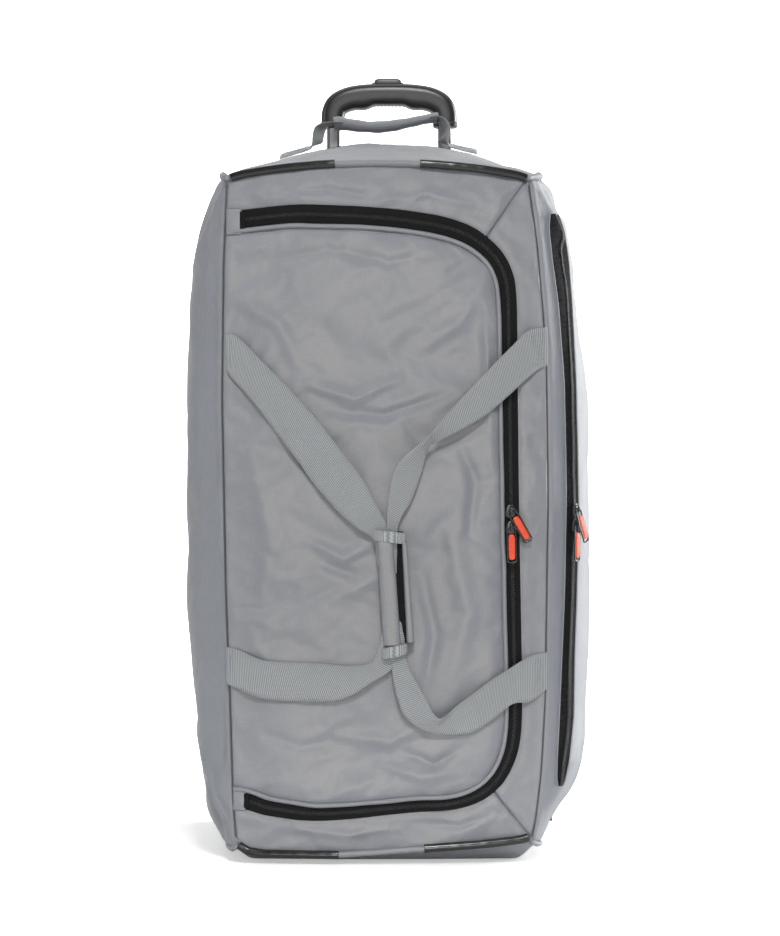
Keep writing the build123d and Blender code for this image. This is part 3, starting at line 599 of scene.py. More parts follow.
def tape(name, color):
    """Knitted tape: fine lengthwise ribs, with a painted highlight on the ribs and painted shade
    between them.
    """
    mat = Shader(name)
    _, u, v = mat.uv()
    ribs, rungs = mat.sine(u, period=0.9), mat.sine(v, period=0.8)
    height = mat.math("ADD", mat.times(ribs, 0.7), mat.times(rungs, 0.3))
    # painted light and shade: colour follows the rib height, ribs lighter, grooves darker
    tint = mat.mix(mat.linear(height, 0.5, 0.5), shade(color, 0.6), shade(color, 1.7))
    relief = mat.bump(height, distance=0.0002, strength=0.6)
    return mat.finish(tint, 0.85, relief, Sheen_Weight=0.0, Specular_IOR_Level=0.12)


def plastic(name, color, rough, grain, scale=1400, spec=0.5, coat=0.0, edge_highlight=0.25):
    """Moulded plastic: fine grain, slight gloss changes, painted highlight on convex edges."""
    mat = Shader(name)
    place = mat.place()
    grains = mat.noise(place, scale, detail=3, rough=0.6)
    patches = mat.noise(place, scale=26, detail=4, rough=0.6)
    geometry = mat.node("ShaderNodeNewGeometry")
    edge = mat.above(geometry.outputs["Pointiness"], floor=0.52, gain=8.0)
    tint = mat.mix(patches, shade(color, 0.85), shade(color, 1.15))
    # painted highlight: convex edges, found by pointiness, drawn lighter
    edge_highlight_grey = tuple(min(1, part * 1.6 + 0.04) for part in color)
    tint = mat.mix(mat.times(edge, edge_highlight), tint, edge_highlight_grey)
    gloss = mat.linear(patches, gain=0.14, base=rough - 0.06)
    relief = mat.bump(grains, distance=0.00012, strength=grain)
    return mat.finish(tint, gloss, relief, Specular_IOR_Level=spec, Coat_Weight=coat,
                      Coat_Roughness=0.25)


def metal(name, color, rough):
    """Metal brushed along z."""
    mat = Shader(name)
    brushing = mat.streaks(mat.place(), (900, 900, 12), detail=3, rough=0.6)
    tint = mat.mix(brushing, shade(color, 0.85), shade(color, 1.15))
    gloss = mat.linear(brushing, gain=0.2, base=rough - 0.1)
    return mat.finish(tint, gloss, mat.bump(brushing, distance=0.00004, strength=0.5),
                      Metallic=0.9)


def stage_white(name, color, rough):
    """White floor that the camera sees glow, more so away from the bag."""
    mat = Shader(name)
    place = mat.place()
    mottle = mat.noise(place, scale=3, detail=2)
    tint = mat.mix(mottle, shade(color, 0.995), shade(color, 1.0))
    rays = mat.node("ShaderNodeLightPath")
    distance = mat.node("ShaderNodeVectorMath", operation="LENGTH")
    mat.feed(distance.inputs[0], place)
    far = mat.above(distance.outputs["Value"], floor=0.45, gain=1.1)
    glow = mat.linear(far, gain=0.95, base=0.40)
    mat.feed(mat.surface.inputs["Emission Strength"],
             mat.times(rays.outputs["Is Camera Ray"], glow))
    mat.surface.inputs["Emission Color"].default_value = (1, 1, 1, 1)
    return mat.finish(tint, rough, Specular_IOR_Level=0.1)


FABRIC = fabric("duffel_fabric", (0.268, 0.273, 0.287))
# the gusset copy is a touch cooler: painted cool shade of the side panels seen edge-on
GUSSET = fabric("gusset_fabric", (0.262, 0.271, 0.292))
BACK = fabric("back_fabric", (0.150, 0.154, 0.165), pitch=0.9)
WEBBING = webbing("strap_webbing", (0.355, 0.373, 0.383))
TAPE = tape("zip_tape", (0.0095, 0.0095, 0.010))
COIL = plastic("zip_coil", (0.020, 0.020, 0.021), rough=0.36, grain=0.1)
PIPING = plastic("piping_black", (0.0135, 0.014, 0.0145), rough=0.20, grain=0.05, scale=700,
                 spec=0.55, edge_highlight=0.0)
PLASTIC = plastic("black_plastic", (0.022, 0.022, 0.023), rough=0.45, grain=0.6)
GRIP = plastic("grip_plastic", (0.019, 0.019, 0.0195), rough=0.33, grain=0.35, scale=1600,
               spec=0.55, edge_highlight=0.1)
BUTTON = plastic("button_plastic", (0.075, 0.075, 0.080), rough=0.38, grain=0.3)
TUBE = metal("tube_metal", (0.17, 0.17, 0.175), rough=0.34)
STEEL = metal("steel", (0.55, 0.55, 0.56), rough=0.3)
TYRE = plastic("wheel_tyre", (0.026, 0.026, 0.027), rough=0.55, grain=0.7, scale=900)
HUB = plastic("wheel_hub", (0.10, 0.10, 0.105), rough=0.42, grain=0.4)
ZIP_METAL = plastic("zip_metal", (0.022, 0.022, 0.023), rough=0.28, grain=0.15, scale=900,
                    spec=0.6, coat=0.5, edge_highlight=0.5)
PULL_FRAME = plastic("pull_frame", (0.018, 0.018, 0.019), rough=0.24, grain=0.1, scale=900,
                     spec=0.6, coat=0.5, edge_highlight=0.4)
ORANGE = plastic("pull_insert", (0.80, 0.085, 0.030), rough=0.42, grain=0.35, scale=900,
                 spec=0.45, edge_highlight=0.1)
THREAD = tape("thread_grey", (0.27, 0.28, 0.30))
THREAD_DARK = tape("thread_dark", (0.05, 0.05, 0.055))
SEAM = tape("seam_shadow", (0.10, 0.103, 0.11))
HOOK_STRIP = tape("hook_strip", (0.010, 0.010, 0.011))

# ---------------------------------------------------------- body measurements
FRONT_CENTRE_Y, FRONT_RADIUS = 785.0, 979.0     # the front is an arc in plan
HEIGHTS = np.linspace(-20, 740, 381)


def by_height(heights, values, rounds):
    return relax(np.interp(HEIGHTS, heights, values), rounds)


# half width at the front seams (left, right) and at the widest part, against height
SEAM_LEFT = by_height([0, 13, 63, 163, 263, 463, 600, 683, 720],
                      [150, 152, 156, 159, 163, 167, 165.5, 162, 161], 30)
SEAM_RIGHT = by_height([0, 13, 40, 90, 163, 363, 513, 618, 683, 720],
                       [139, 140, 146, 152, 156, 159, 157, 148, 139, 137], 30)
WIDE_LEFT = by_height(
    [0, 6, 30, 59, 88, 151, 256, 466, 560, 633, 664, 683, 690, 697, 720],
    [158, 163, 176, 187, 191, 198, 206, 206.5, 203, 192.5, 184, 174, 170, 165, 162], 8)
WIDE_RIGHT = by_height(
    [0, 3, 13, 41, 55, 61, 72, 95, 151, 204, 309, 466, 563, 600, 648, 657, 672, 683, 690, 697,
     720],
    [147, 149, 155, 168, 176, 184, 190, 197, 199, 203, 206, 204, 192.5, 188, 181, 174, 168, 161,
     157, 153, 150], 5)
# half width of the back, drawn in toward both ends
BACK_HALF = (183 - 13 * (np.clip(HEIGHTS - 350, 0, 340) / 340) ** 6
             - 10 * (np.clip(350 - HEIGHTS, 0, None) / 340) ** 6)


def seam_x(side, z):
    return side * np.interp(z, HEIGHTS, SEAM_RIGHT if side > 0 else SEAM_LEFT)


def base_y(x):
    return FRONT_CENTRE_Y - np.sqrt(FRONT_RADIUS ** 2 - np.asarray(x, float) ** 2)


def top_z(x):
    return 698 - 13 * (np.abs(np.asarray(x, float) + 12) / 150) ** 2.2


def low_z(x):
    return np.interp(x, [-152, -140, -125, -51, 36, 90, 140], [18, 12.5, 10.5, 10, 16.5, 20, 25])


# folds of the front face: path (x, z), height, width
FRONT_FOLDS = [
    ([(-90, 480), (-35, 465), (20, 487)], 1.6, 9), ([(-60, 452), (-5, 447), (60, 470)], -1.5, 8),
    ([(20, 505), (70, 540), (100, 590)], 1.2, 12), ([(-80, 322), (-45, 305), (-20, 318)], 1.3, 8),
    ([(-70, 300), (-30, 288)], -1.2, 7), ([(10, 115), (45, 100), (75, 118)], -1.7, 8),
    ([(-10, 100), (30, 88), (70, 92)], 1.3, 7),
    ([(-120, 600), (-60, 612), (0, 600), (40, 607)], -1.0, 8),
    ([(-140, 420), (-120, 330), (-130, 250)], 1.1, 12),
    ([(60, 330), (80, 250), (60, 180)], 1.2, 14), ([(30, 300), (45, 230), (35, 170)], -1.2, 10),
    ([(-60, 130), (0, 122), (40, 140)], 1.1, 10),
    ([(-130, 130), (-90, 118), (-50, 124)], -0.9, 9),
    ([(95, 560), (100, 470), (104, 380)], 1.0, 7),
    ([(-150, 560), (-110, 540), (-90, 500)], 1.0, 10),
    ([(70, 420), (85, 380), (80, 330)], -1.0, 9), ([(-20, 660), (40, 668), (90, 655)], 0.9, 6),
    ([(-120, 668), (-60, 672), (-10, 664)], -0.9, 6), ([(-100, 35), (-40, 30), (10, 36)], 1.1, 6),
    ([(20, 42), (70, 38), (100, 48)], -1.0, 5)]


def front_wrinkle(x, z):
    """How far the fabric stands out (+) or in (-) of the plain front curve."""
    out = (1.5 * vnoise(x, z, 62, 3) + 0.55 * vnoise(x, z, 27, 5)
           + 0.14 * vnoise(x + z, z - x, 12, 8))
    cos, sin = math.cos(0.5), math.sin(0.5)     # the creases run aslant
    xr, zr = x * cos + z * sin, z * cos - x * sin
    where = (0.17 + 0.66 * bell(z - 665, 34) + 0.34 * bell(z - 600, 55)
             + 0.34 * bell(z - 470, 70) * bell(x + 15, 90)
             + 0.42 * bell(z - 35, 40) + 0.3 * bell(z - 110, 40))
    out = out + where * (3.6 * crease(xr, zr * 1.9, 66, 31)
                         + 2.1 * crease(xr * 0.9, zr * 1.7 + 40, 31, 32)
                         + 0.4 * crease(xr * 1.1, zr * 1.4 + 90, 15, 33))
    for path, height, width in FRONT_FOLDS:
        out = out + fold(x, z, path, height * 2.3, width * 0.72)
    fade = sstep((x - seam_x(-1, z)) / 34.0) * sstep((seam_x(1, z) - x) / 26.0)
    return out * (0.22 + 0.78 * fade)


def on_front(plan, lift, wrinkle=1.0):
    """Points (x, z) laid on the front face, tucked in at its four seams."""
    x, z = plan[..., 0], plan[..., 1]
    y = base_y(x) - lift - wrinkle * front_wrinkle(x, z)
    y = y + tuck(top_z(x) - z, 5.0, 7.0) + tuck(z - low_z(x), 5.0, 7.0)
    y = y + tuck(x - seam_x(-1, z), 1.9, 3.2) + tuck(seam_x(1, z) - x, 1.9, 3.2)
    return points(x, y, z)


# centre line (x, z) of the flap zip, from its upper left end round to its lower left end
ZIP = catmull([
    (-167, 641), (-148, 643), (-97, 647.5), (-59, 647), (-20, 645), (18, 641.5), (56, 635),
    (83, 624.5), (103, 608), (114, 590), (118.5, 568), (119.7, 523), (120.5, 461), (122, 353),
    (124, 256), (125.6, 163), (123.5, 123), (116, 98), (103, 79), (84, 66.5), (59, 60),
    (29, 58.5), (-1, 56), (-39, 52), (-78, 51), (-119, 56), (-140, 62), (-161, 65)], 900)
ZIP_TANGENT = unit(np.gradient(ZIP, axis=0))
ZIP_OUT = points(-ZIP_TANGENT[:, 1], ZIP_TANGENT[:, 0])     # points out of the flap
zip_share = arc_length(ZIP)
zip_share /= zip_share[-1]
# share of the full tape width showing, against the share of the zip's length
ZIP_WIDTH = np.interp(zip_share,
                      [0, 0.02, 0.2, 0.3, 0.42, 0.6, 0.72, 0.80, 0.87, 0.95, 1.0],
                      [1.0, 1.02, 1.0, 0.86, 0.80, 0.74, 0.68, 0.55, 0.60, 0.78, 0.95])
TAPE_HALF = 8.3


def beside_zip(distance):
    """Curve beside the zip, distance out of the flap; the tape's part narrows with it."""
    inside = math.copysign(min(abs(distance), TAPE_HALF), distance)
    offset = inside * ZIP_WIDTH + (distance - inside)
    return ZIP + ZIP_OUT * offset[:, None]


def nearest(curve, x, z):
    return int(np.argmin(np.hypot(curve[:, 0] - x, curve[:, 1] - z)))


def trim_left(curve, z):
    """The curve from where it comes inside the left seam at height z."""
    return curve[int(np.argmax(curve[:, 0] > seam_x(-1, z) + 1)):]


def close_left(low, high, count):
    """Low and high curves moved to start on the left seam, and the edge between them."""
    z = np.linspace(low[0][1], high[0][1], count)
    edge = points(seam_x(-1, z) + 1, z)
    return np.vstack([edge[:1], low[1:]]), np.vstack([edge[-1:], high[1:]]), edge


# ---------------------------------------------------------------- flap fabric
edge_curve = beside_zip(-10.6)
upper, lower = nearest(edge_curve, 96, 600), nearest(edge_curve, 98, 92)
low, high, left = close_left(trim_left(edge_curve[lower:][::-1], 60),
                             trim_left(edge_curve[:upper + 1], 640), 120)
plan = coons(low, high, left, edge_curve[upper:lower + 1][::-1], 130, 250)
dist = path_distance(plan, edge_curve[::6])
grid = on_front(plan, 0.6)
grid[..., 1] += 2.6 * np.exp(-dist / 5.0) - 1.3 * bell(dist - 16, 11)
grid = grid + settle(grid, extra=0.014, cap=3.0, bend=0.15)
put(sheet("flap_cloth", grid, FABRIC, 1.6), "flap", "fabric", "flap_panel")

# -------------------------------------------------------------- border fabric
inner = beside_zip(8.2)
upper, lower = nearest(inner, 103, 632), nearest(inner, 104, 73)
LEFT_TOP_Z, LEFT_LOW_Z = 683.0, 16.0
top_corner_x = float(seam_x(1, 683)) - 0.6
low_corner_x = float(seam_x(1, 24)) - 0.6
top_corner = (top_corner_x, float(top_z(top_corner_x)))
low_corner = (low_corner_x, float(low_z(low_corner_x)))

edge_x_line = np.linspace(seam_x(-1, LEFT_TOP_Z) + 1, top_corner_x, 150)
outer = points(edge_x_line, top_z(edge_x_line))
inside = inner[:upper + 1]
inside = trim_left(inside, inside[0][1])
low, high, left = close_left(inside, outer, 30)
top_plan = coons(low, high, left, np.linspace(inside[-1], outer[-1], 30), 150, 26)

z = np.linspace(low_corner[1] + 3, top_corner[1] - 3, 200)
outer = np.vstack([[low_corner], points(seam_x(1, z) - 0.6, z), [top_corner]])
inside = inner[upper:lower + 1][::-1]
right_plan = coons(np.linspace(inside[0], outer[0], 30), np.linspace(inside[-1], outer[-1], 30),
                   inside, outer, 26, 230)

edge_x_line = np.linspace(seam_x(-1, LEFT_LOW_Z) + 1, low_corner_x, 150)
outer = points(edge_x_line, low_z(edge_x_line))
inside = inner[lower:][::-1]
inside = trim_left(inside, inside[0][1])
low, high, left = close_left(outer, inside, 30)
bottom_plan = coons(low, high, left, np.linspace(outer[-1], inside[-1], 30), 150, 26)

MITRES = [(inner[upper], top_corner), (inner[lower], low_corner)]
for name, plan, replaced in (("border_top", top_plan, ["border_panel"]),
                             ("border_right", right_plan, []),
                             ("border_bottom", bottom_plan, [])):
    grid = on_front(plan, 0.4)
    dist = path_distance(plan, inner[::8])
    grid[..., 1] += 1.6 * np.exp(-dist / 3.0) - 0.8 * bell(dist - 9, 6)
    for start, end in MITRES:
        dist, _ = segment_distance(plan[..., 0], plan[..., 1], start, end)
        grid[..., 1] += 1.3 * np.exp(-dist / 1.6) - 0.5 * bell(dist - 6, 4)
    grid = grid + settle(grid, extra=0.016, cap=2.0, bend=0.1, step=1)
    put(sheet(name, grid, FABRIC, 1.6), "root", "fabric", *replaced)

# ------------------------------------------------------------------- main zip
shown = np.flatnonzero(ZIP[:, 0] > -146)
first, last = int(shown[0]), int(shown[-1])


def zip_band(name, near, far, body, replaced):
    a, b = [resample(beside_zip(d)[first:last + 1], 700)[:, None] for d in (near, far)]
    u = row(0, 1, 7)[..., None]
    grid = on_front(a * (1 - u) + b * u, -0.9)
    put(sheet(name, grid, TAPE, 0.9), body, "zip_tape", replaced)


def coil_teeth(name, curve, normals, half, pitch, body, replaced):
    """Two rows of nylon teeth that meet on a centre line."""
    count = int(arc_length(curve)[-1] / pitch)
    centres = resample(curve, count)
    tangents = unit(np.gradient(centres, axis=0))
    ups = square_to(resample(normals, count), tangents)
    sides = np.cross(tangents, ups) * np.where(np.arange(count) % 2 == 0, 1.0, -1.0)[:, None]
    put(capsules(name, centres + sides * half * 0.42, sides + tangents * 0.22, ups, half * 1.25,
                 0.72, COIL, flat=0.9), body, "zip_coil", replaced)


zip_band("zip_tape_flap", -9.2, -0.5, "flap", "flap_zip_tape")
zip_band("zip_tape_border", 0.5, 9.6, "root", "border_zip_tape")
curve = on_front(ZIP[first:last + 1], 0.2)
coil_teeth("zip_coil_main", curve, np.tile(FORWARD, (len(curve), 1)), 2.1, 1.3, "flap",
           "main_zip_chain")

# cord along the flap edge, and the stitches beside the zip
plan = beside_zip(-11.0)[first - 10:last + 10]
plan = plan + points(0.5 * vnoise(plan[:, 0], plan[:, 1], 30, 21),
                     0.6 * vnoise(plan[:, 1], plan[:, 0], 24, 22))
put(tube("flap_piping_cord", resample(on_front(plan, 0.6), 800), 2.35, FABRIC),
    "flap", "fabric", "flap_piping")
stitches("flap_edge_stitches",
         [stitch_line(on_front(beside_zip(-15.2)[first:last], 1.2), FORWARD)], "flap")
lines = [stitch_line(on_front(beside_zip(11.8)[first:last], 0.6), FORWARD)]
for start, end in MITRES:
    along = unit(np.array(end) - np.array(start))
    for offset in (-2.6, 2.6):
        plan = np.linspace(start, end, 30) + np.array([-along[1], along[0]]) * offset
        lines.append(stitch_line(on_front(plan, 0.9), FORWARD))
stitches("border_stitches", lines, "root")

# fabric tab over each zip end, with a small black strip beside it
for tag, x0, x1, z0, z1, replaced in (
        ("upper", -163, -147.5, 628, 654, ["zip_end_tabs"]),
        ("lower", -156, -143.5, 53, 73, [])):
    x, z = row(x0, x1, 14), column(z0, z1, 20)
    bulge = (1.6 * (1 - ((z - (z0 + z1) / 2) / ((z1 - z0) / 2)) ** 2)
             * (1 - ((x - (x0 + x1) / 2) / ((x1 - x0) / 2)) ** 4))
    grid = on_front(points(x, z), 1.0 + bulge, 0.6)
    put(sheet("zip_end_tab_" + tag, grid, FABRIC, 1.2), "root", "fabric", *replaced)
    plan = points(row(x1 - 1.5, x1 + 3.5, 6), column(z0 + 3, z1 - 3, 12))
    put(sheet("zip_end_stop_" + tag, on_front(plan, 1.9, 0.6), TAPE, 1.0), "root", "zip_tape")

# -------------------------------------------------------------------- gussets
def plan_curve(side, z):
    """Gusset in plan (distance out, y) at height z, from the front seam to the back."""
    seam = abs(seam_x(side, z))
    wide = float(np.interp(z, HEIGHTS, WIDE_RIGHT if side > 0 else WIDE_LEFT))
    back = float(np.interp(z, HEIGHTS, BACK_HALF))
    bulge = wide - seam
    y0 = float(base_y(seam)) + 3.2
    return catmull([(seam + 0.4, y0), (seam + 0.34 * bulge + 0.8, y0 + 9),
                    (seam + 0.62 * bulge, -157), (seam + 0.88 * bulge, -126), (wide, -48),
                    (wide - 3, 70), (back + 0.5, 181)], 160, 10)


def roof_edge_z(y):
    return np.interp(y, [-186, -180, -120, -40, 40, 120, 182, 190],
                     [684.5, 685, 692.5, 697, 702, 708, 710.5, 711])


def gusset_low_z(y, side):
    z0 = 20.0 if side > 0 else 15.0
    front = np.interp(y, [-185, -170, -120, 100], [z0 + 3, z0 - 2, 13.5, 13.5])
    return front + 81 * sstep((np.asarray(y) - 96) / 20.0)      # steps up over the wheels


PLAN_Z = np.linspace(8, 716, 237)
PLAN_STEP = PLAN_Z[1] - PLAN_Z[0]
PLANS = {side: np.array([plan_curve(side, z) for z in PLAN_Z]) for side in (-1, 1)}


def gusset_point(side, t, z):
    """Point at curve parameter t (0 front seam, 1 back) and height z."""
    plans = PLANS[side]
    ti = np.clip(np.asarray(t) * (plans.shape[1] - 1), 0, plans.shape[1] - 1.001)
    zi = np.clip((np.asarray(z) - PLAN_Z[0]) / PLAN_STEP, 0, len(PLAN_Z) - 1.001)
    i, j = ti.astype(int), zi.astype(int)
    fi, fj = (ti - i)[..., None], (zi - j)[..., None]
    spot = ((plans[j, i] * (1 - fi) + plans[j, i + 1] * fi) * (1 - fj)
            + (plans[j + 1, i] * (1 - fi) + plans[j + 1, i + 1] * fi) * fj)
    return points(side * spot[..., 0], spot[..., 1], z)


# folds of the right gusset: path (distance from the front seam, z), height, width
GUSSET_FOLDS = [
    ([(20, 640), (60, 600), (120, 590)], 2.2, 12), ([(20, 90), (70, 120), (140, 118)], 2.0, 13),
    ([(60, 660), (120, 668), (200, 650)], -1.8, 11), ([(40, 60), (110, 70), (190, 90)], -2.0, 11),
    ([(10, 420), (40, 380), (36, 320)], -1.0, 11),
    ([(160, 640), (180, 520), (170, 400)], 2.0, 22),
    ([(250, 600), (262, 450), (250, 300)], -2.2, 26),
    ([(200, 260), (212, 160), (190, 100)], 2.0, 20),
    ([(300, 240), (310, 170), (290, 120)], -1.8, 18),
    ([(90, 520), (96, 400), (88, 280)], -1.2, 16), ([(12, 660), (34, 640), (50, 610)], 2.0, 7),
    ([(6, 682), (20, 664), (32, 630)], 3.2, 5), ([(20, 688), (36, 672), (44, 650)], -3.2, 6),
    ([(44, 690), (60, 676), (76, 660)], 2.6, 7), ([(8, 50), (30, 76), (46, 110)], 1.8, 8),
    ([(130, 700), (150, 670), (140, 640)], 2.0, 10),
    ([(240, 706), (250, 670), (235, 640)], -2.0, 11),
    ([(320, 706), (315, 660), (330, 620)], 1.8, 12)]


def gusset_wrinkle(side, s, z):
    seed = 40 if side > 0 else 60
    out = (1.5 * vnoise(s, z, 90, seed) + 0.6 * vnoise(s, z, 36, seed + 1)
           + 0.15 * vnoise(s + z, z - s, 14, seed + 2))
    for path, height, width in GUSSET_FOLDS:
        if side < 0:    # the left side has the same folds upside down
            path = [(s2 * 1.06 + 6, 722 - z2) for s2, z2 in path]
        out = out + fold(s, z, path, height, width)
    return out


SIDE_LENGTH = 372.0


def build_gusset(side, tag):
    """Gusset cloth; gives its grid, normals and distances from the front seam."""
    t = np.linspace(0, 1, 150) ** 1.12
    y = gusset_point(side, t, 350.0)[:, 1]
    top, low = roof_edge_z(y), gusset_low_z(y, side)
    z = low + (top - low) * column(0, 1, 250)
    t = np.tile(t, (250, 1))
    grid = gusset_point(side, t, z)
    normals = grid_normals(grid) * side
    s = t * SIDE_LENGTH
    edge = np.minimum(np.minimum(s, SIDE_LENGTH - s), np.minimum(top - z, z - low))
    inset = sstep(edge / 14.0)
    out = gusset_wrinkle(side, s, z) * inset + 1.1 * bell(s - 5, 3.2) - tuck(edge, 2.2, 2.2)
    if side > 0:        # calmer cloth along the pocket zip
        noise = 1.5 * vnoise(s, z, 90, 40) + 0.6 * vnoise(s, z, 36, 41)
        out -= noise * sstep((70 - s) / 20) * 0.8 * inset
    grid = grid + normals * out[..., None]
    soft = settle(grid, extra=0.012, cap=4.0, bend=0.2)
    if side > 0:
        soft = soft * sstep((s - 62) / 30)[..., None]
    grid = grid + soft
    put(sheet("gusset_cloth_" + tag, grid, GUSSET, 1.6, flip=side < 0), "root", "fabric",
        "gusset_" + tag)
    return grid, normals, s


RIGHT_GRID, RIGHT_NORMALS, RIGHT_S = build_gusset(1, "right")
build_gusset(-1, "left")


# -------------------------------------------------- pocket zip, right gusset
def gusset_row(z):
    return int(np.argmin(np.abs(RIGHT_GRID[:, 30, 2] - z)))


def gusset_surface(s, z, lift):
    """Point and normal of the finished right gusset at distance s from the front seam."""
    j = gusset_row(z)
    normal = unit(interp_points(s, RIGHT_S[j], RIGHT_NORMALS[j]))
    return interp_points(s, RIGHT_S[j], RIGHT_GRID[j]) + normal * lift, normal


# Height, and x of the front and rear edge of the pocket zip. The x values lie on the plane
# y = VIEW_PLANE_Y, along sight lines from a point VIEW_DISTANCE in front of it.
VIEW_PLANE_Y, VIEW_DISTANCE = -180, 3000
POCKET_EDGES = np.array([
    (70.424, 170.6, 171.4), (74.456, 168.5, 174), (80.504, 167.5, 176), (100.664, 168, 180),
    (140.984, 170, 184), (202.472, 172.5, 185), (261.944, 175, 187), (352.664, 177, 189),
    (413.144, 176.5, 188), (481.688, 175, 186.5), (562.328, 169, 182.5), (606.68, 163, 179),
    (634.904, 160, 175), (642.968, 159.8, 172.5), (649.016, 160.2, 170.4),
    (654.056, 161.4, 167.8), (657.08, 163.6, 164.4)])


def seam_distance(z, seen_x):
    """Distance from the front seam of the gusset point seen at seen_x."""
    j = gusset_row(z)
    seen = RIGHT_GRID[j, :, 0] / (1 + (RIGHT_GRID[j, :, 1] - VIEW_PLANE_Y) / VIEW_DISTANCE)
    k = int(np.argmax(seen))
    return float(np.interp(seen_x, np.maximum.accumulate(seen[:k + 1]), RIGHT_S[j, :k + 1]))


pocket_z = np.linspace(74, 652, 320)
front_s, rear_s = [
    relax(np.array([seam_distance(z, np.interp(z, POCKET_EDGES[:, 0], POCKET_EDGES[:, k]))
                    for z in pocket_z]), 2) for k in (1, 2)]
centre_s = (front_s + rear_s) / 2
half_s = (rear_s - front_s) / 2


def pocket_curve(distances, lift):
    return np.array([gusset_surface(s, z, lift)[0] for s, z in zip(distances, pocket_z)])


POCKET_LINE = relax(pocket_curve(centre_s, 0.9), 6)
POCKET_NORMAL = relax(np.array([gusset_surface(s, z, 0.9)[1]
                                for s, z in zip(centre_s, pocket_z)]), 10)
for tag, near, far, replaced in (("a", -1.0, -0.06, ["side_zip_tape"]), ("b", 0.06, 1.0, [])):
    grid = np.stack([pocket_curve(centre_s + u * half_s, 0.55)
                     for u in np.linspace(near, far, 7)], 1)
    put(sheet("side_tape_" + tag, grid, TAPE, 0.8), "root", "zip_tape", *replaced)
coil_teeth("zip_coil_side", POCKET_LINE + POCKET_NORMAL * 0.5, POCKET_NORMAL, 2.5, 1.25, "root",
           "side_zip_chain")
lines = []
for tag, side in (("a", -1), ("b", 1)):
    curve = pocket_curve(np.maximum(1.5, centre_s + side * (half_s + 2.6)), 0.3)
    lines.append(stitch_line(curve, POCKET_NORMAL))
    curve = pocket_curve(np.maximum(1.2, centre_s + side * (half_s + 0.3)), 0.5)
    put(tube("pocket_welt_" + tag, relax(curve, 6), 0.7, GUSSET, 10), "root", "fabric")
stitches("pocket_stitches", lines, "root")

# cords in the vertical front seams
SIDES = ((1, "right"), (-1, "left"))
for side, tag in SIDES:
    z = np.linspace(26, 678, 300)
    x = seam_x(side, z) + side * 0.4
    put(tube("seam_cord_" + tag, points(x, base_y(x) + 2.4, z), 0.75, SEAM, 10),
        "root", "fabric")


# ----------------------------------------------------------------- end panels
def edge_x(side, y, z):
    """Distance out of the gusset edge at each y and z."""
    rows = np.clip(((z - PLAN_Z[0]) / PLAN_STEP).astype(int), 0, len(PLAN_Z) - 1)
    return np.array([np.interp(at, PLANS[side][j, :, 1], PLANS[side][j, :, 0])
                     for at, j in zip(y, rows)])


def end_plan(u, side_y, mid_y, right_z, left_z):
    """x and y of an end panel; u is -1..1 across, side_y and mid_y the y of edges and middle."""
    right = edge_x(1, side_y[:, 0], right_z)[:, None]
    left = edge_x(-1, side_y[:, 0], left_z)[:, None]
    return np.where(u > 0, u * right, u * left), side_y + (mid_y - side_y) * (1 - u ** 2)


# folds of the top end: path (x, y), height, width
TOP_FOLDS = [([(-120, -120), (-60, -80), (-20, -20)], 1.6, 12),
             ([(110, -130), (70, -60), (80, 20)], -1.8, 13),
             ([(-90, 60), (-30, 50), (40, 64)], 1.4, 12),
             ([(130, -60), (140, 30), (125, 90)], 1.8, 11),
             ([(-140, -40), (-148, 40), (-130, 100)], 1.8, 11)]
CREST_Y = 120       # cross seam of the top end
ACROSS = row(-1, 1, 140)


def top_end_grid():
    u, v = ACROSS, column(0, 1, 130)
    side_y = -182 + v * 364
    y_line = side_y[:, 0]
    edge_z = roof_edge_z(y_line) + 1.0
    x, y = end_plan(u, side_y, -192.5 + v * 374.5, edge_z, edge_z)
    crown = np.interp(y_line, [-182, -170, -120, -40, 40, 100, 120, 140, 182],
                      [698, 701.5, 712, 728, 740.5, 747, 748.8, 747.5, 742])
    z = edge_z[:, None] + (crown - edge_z)[:, None] * (1 - np.abs(u) ** 2.6)
    front = 1 - sstep(np.clip(v / 0.06, 0, 1))
    z = z * (1 - front) + (top_z(np.clip(x, -162, 139)) + 0.5) * front
    out = (1.6 * vnoise(x, y, 70, 91) + 0.7 * vnoise(x, y, 28, 92)
           + 2.2 * crease(x + 0.5 * y, y * 0.8 - x * 0.5, 60, 93)
           + 1.1 * crease(x + 0.3 * y, y - x * 0.3, 29, 94))
    for path, height, width in TOP_FOLDS:
        out = out + fold(x, y, path, height, width)
    edge = np.minimum(np.minimum((1 - np.abs(u)) * 160, v * 370), (1 - v) * 370)
    z = z + out * sstep(edge / 22.0) - 1.6 * np.exp(-edge / 3.0)
    seam = y - CREST_Y
    z = z - 0.9 * bell(seam, 1.6) + 0.7 * bell(np.abs(seam) - 5, 2.5)
    # pressed down in front of the crest, round |x| = 94
    z = z - 5.5 * (bell(np.clip(np.abs(np.abs(x) - 94) - 24, 0, None), 8)
                   * sstep((112 - y) / 18) * sstep((y - 62) / 16))
    low_back = (y > 152) & (np.abs(x) < 100)       # kept low round the trolley handle
    return points(x, y, np.where(low_back, np.minimum(z, 735.5), z))


TOP_GRID = top_end_grid()
put(sheet("top_end_cloth", TOP_GRID, FABRIC, 1.6), "root", "fabric", "top_end_panel")
lines = []
for y in (CREST_Y - 4.5, CREST_Y + 4.5):
    line = TOP_GRID[int(np.argmin(np.abs(TOP_GRID[:, 70, 1] - y)))]
    x = np.linspace(-152, 152, 160)
    lines.append(stitch_line(points(x, y, np.interp(x, line[:, 0], line[:, 2]) + 0.2), UPWARD))
stitches("crest_stitches", lines, "root", length=2.6, radius=0.42, mat=THREAD_DARK)


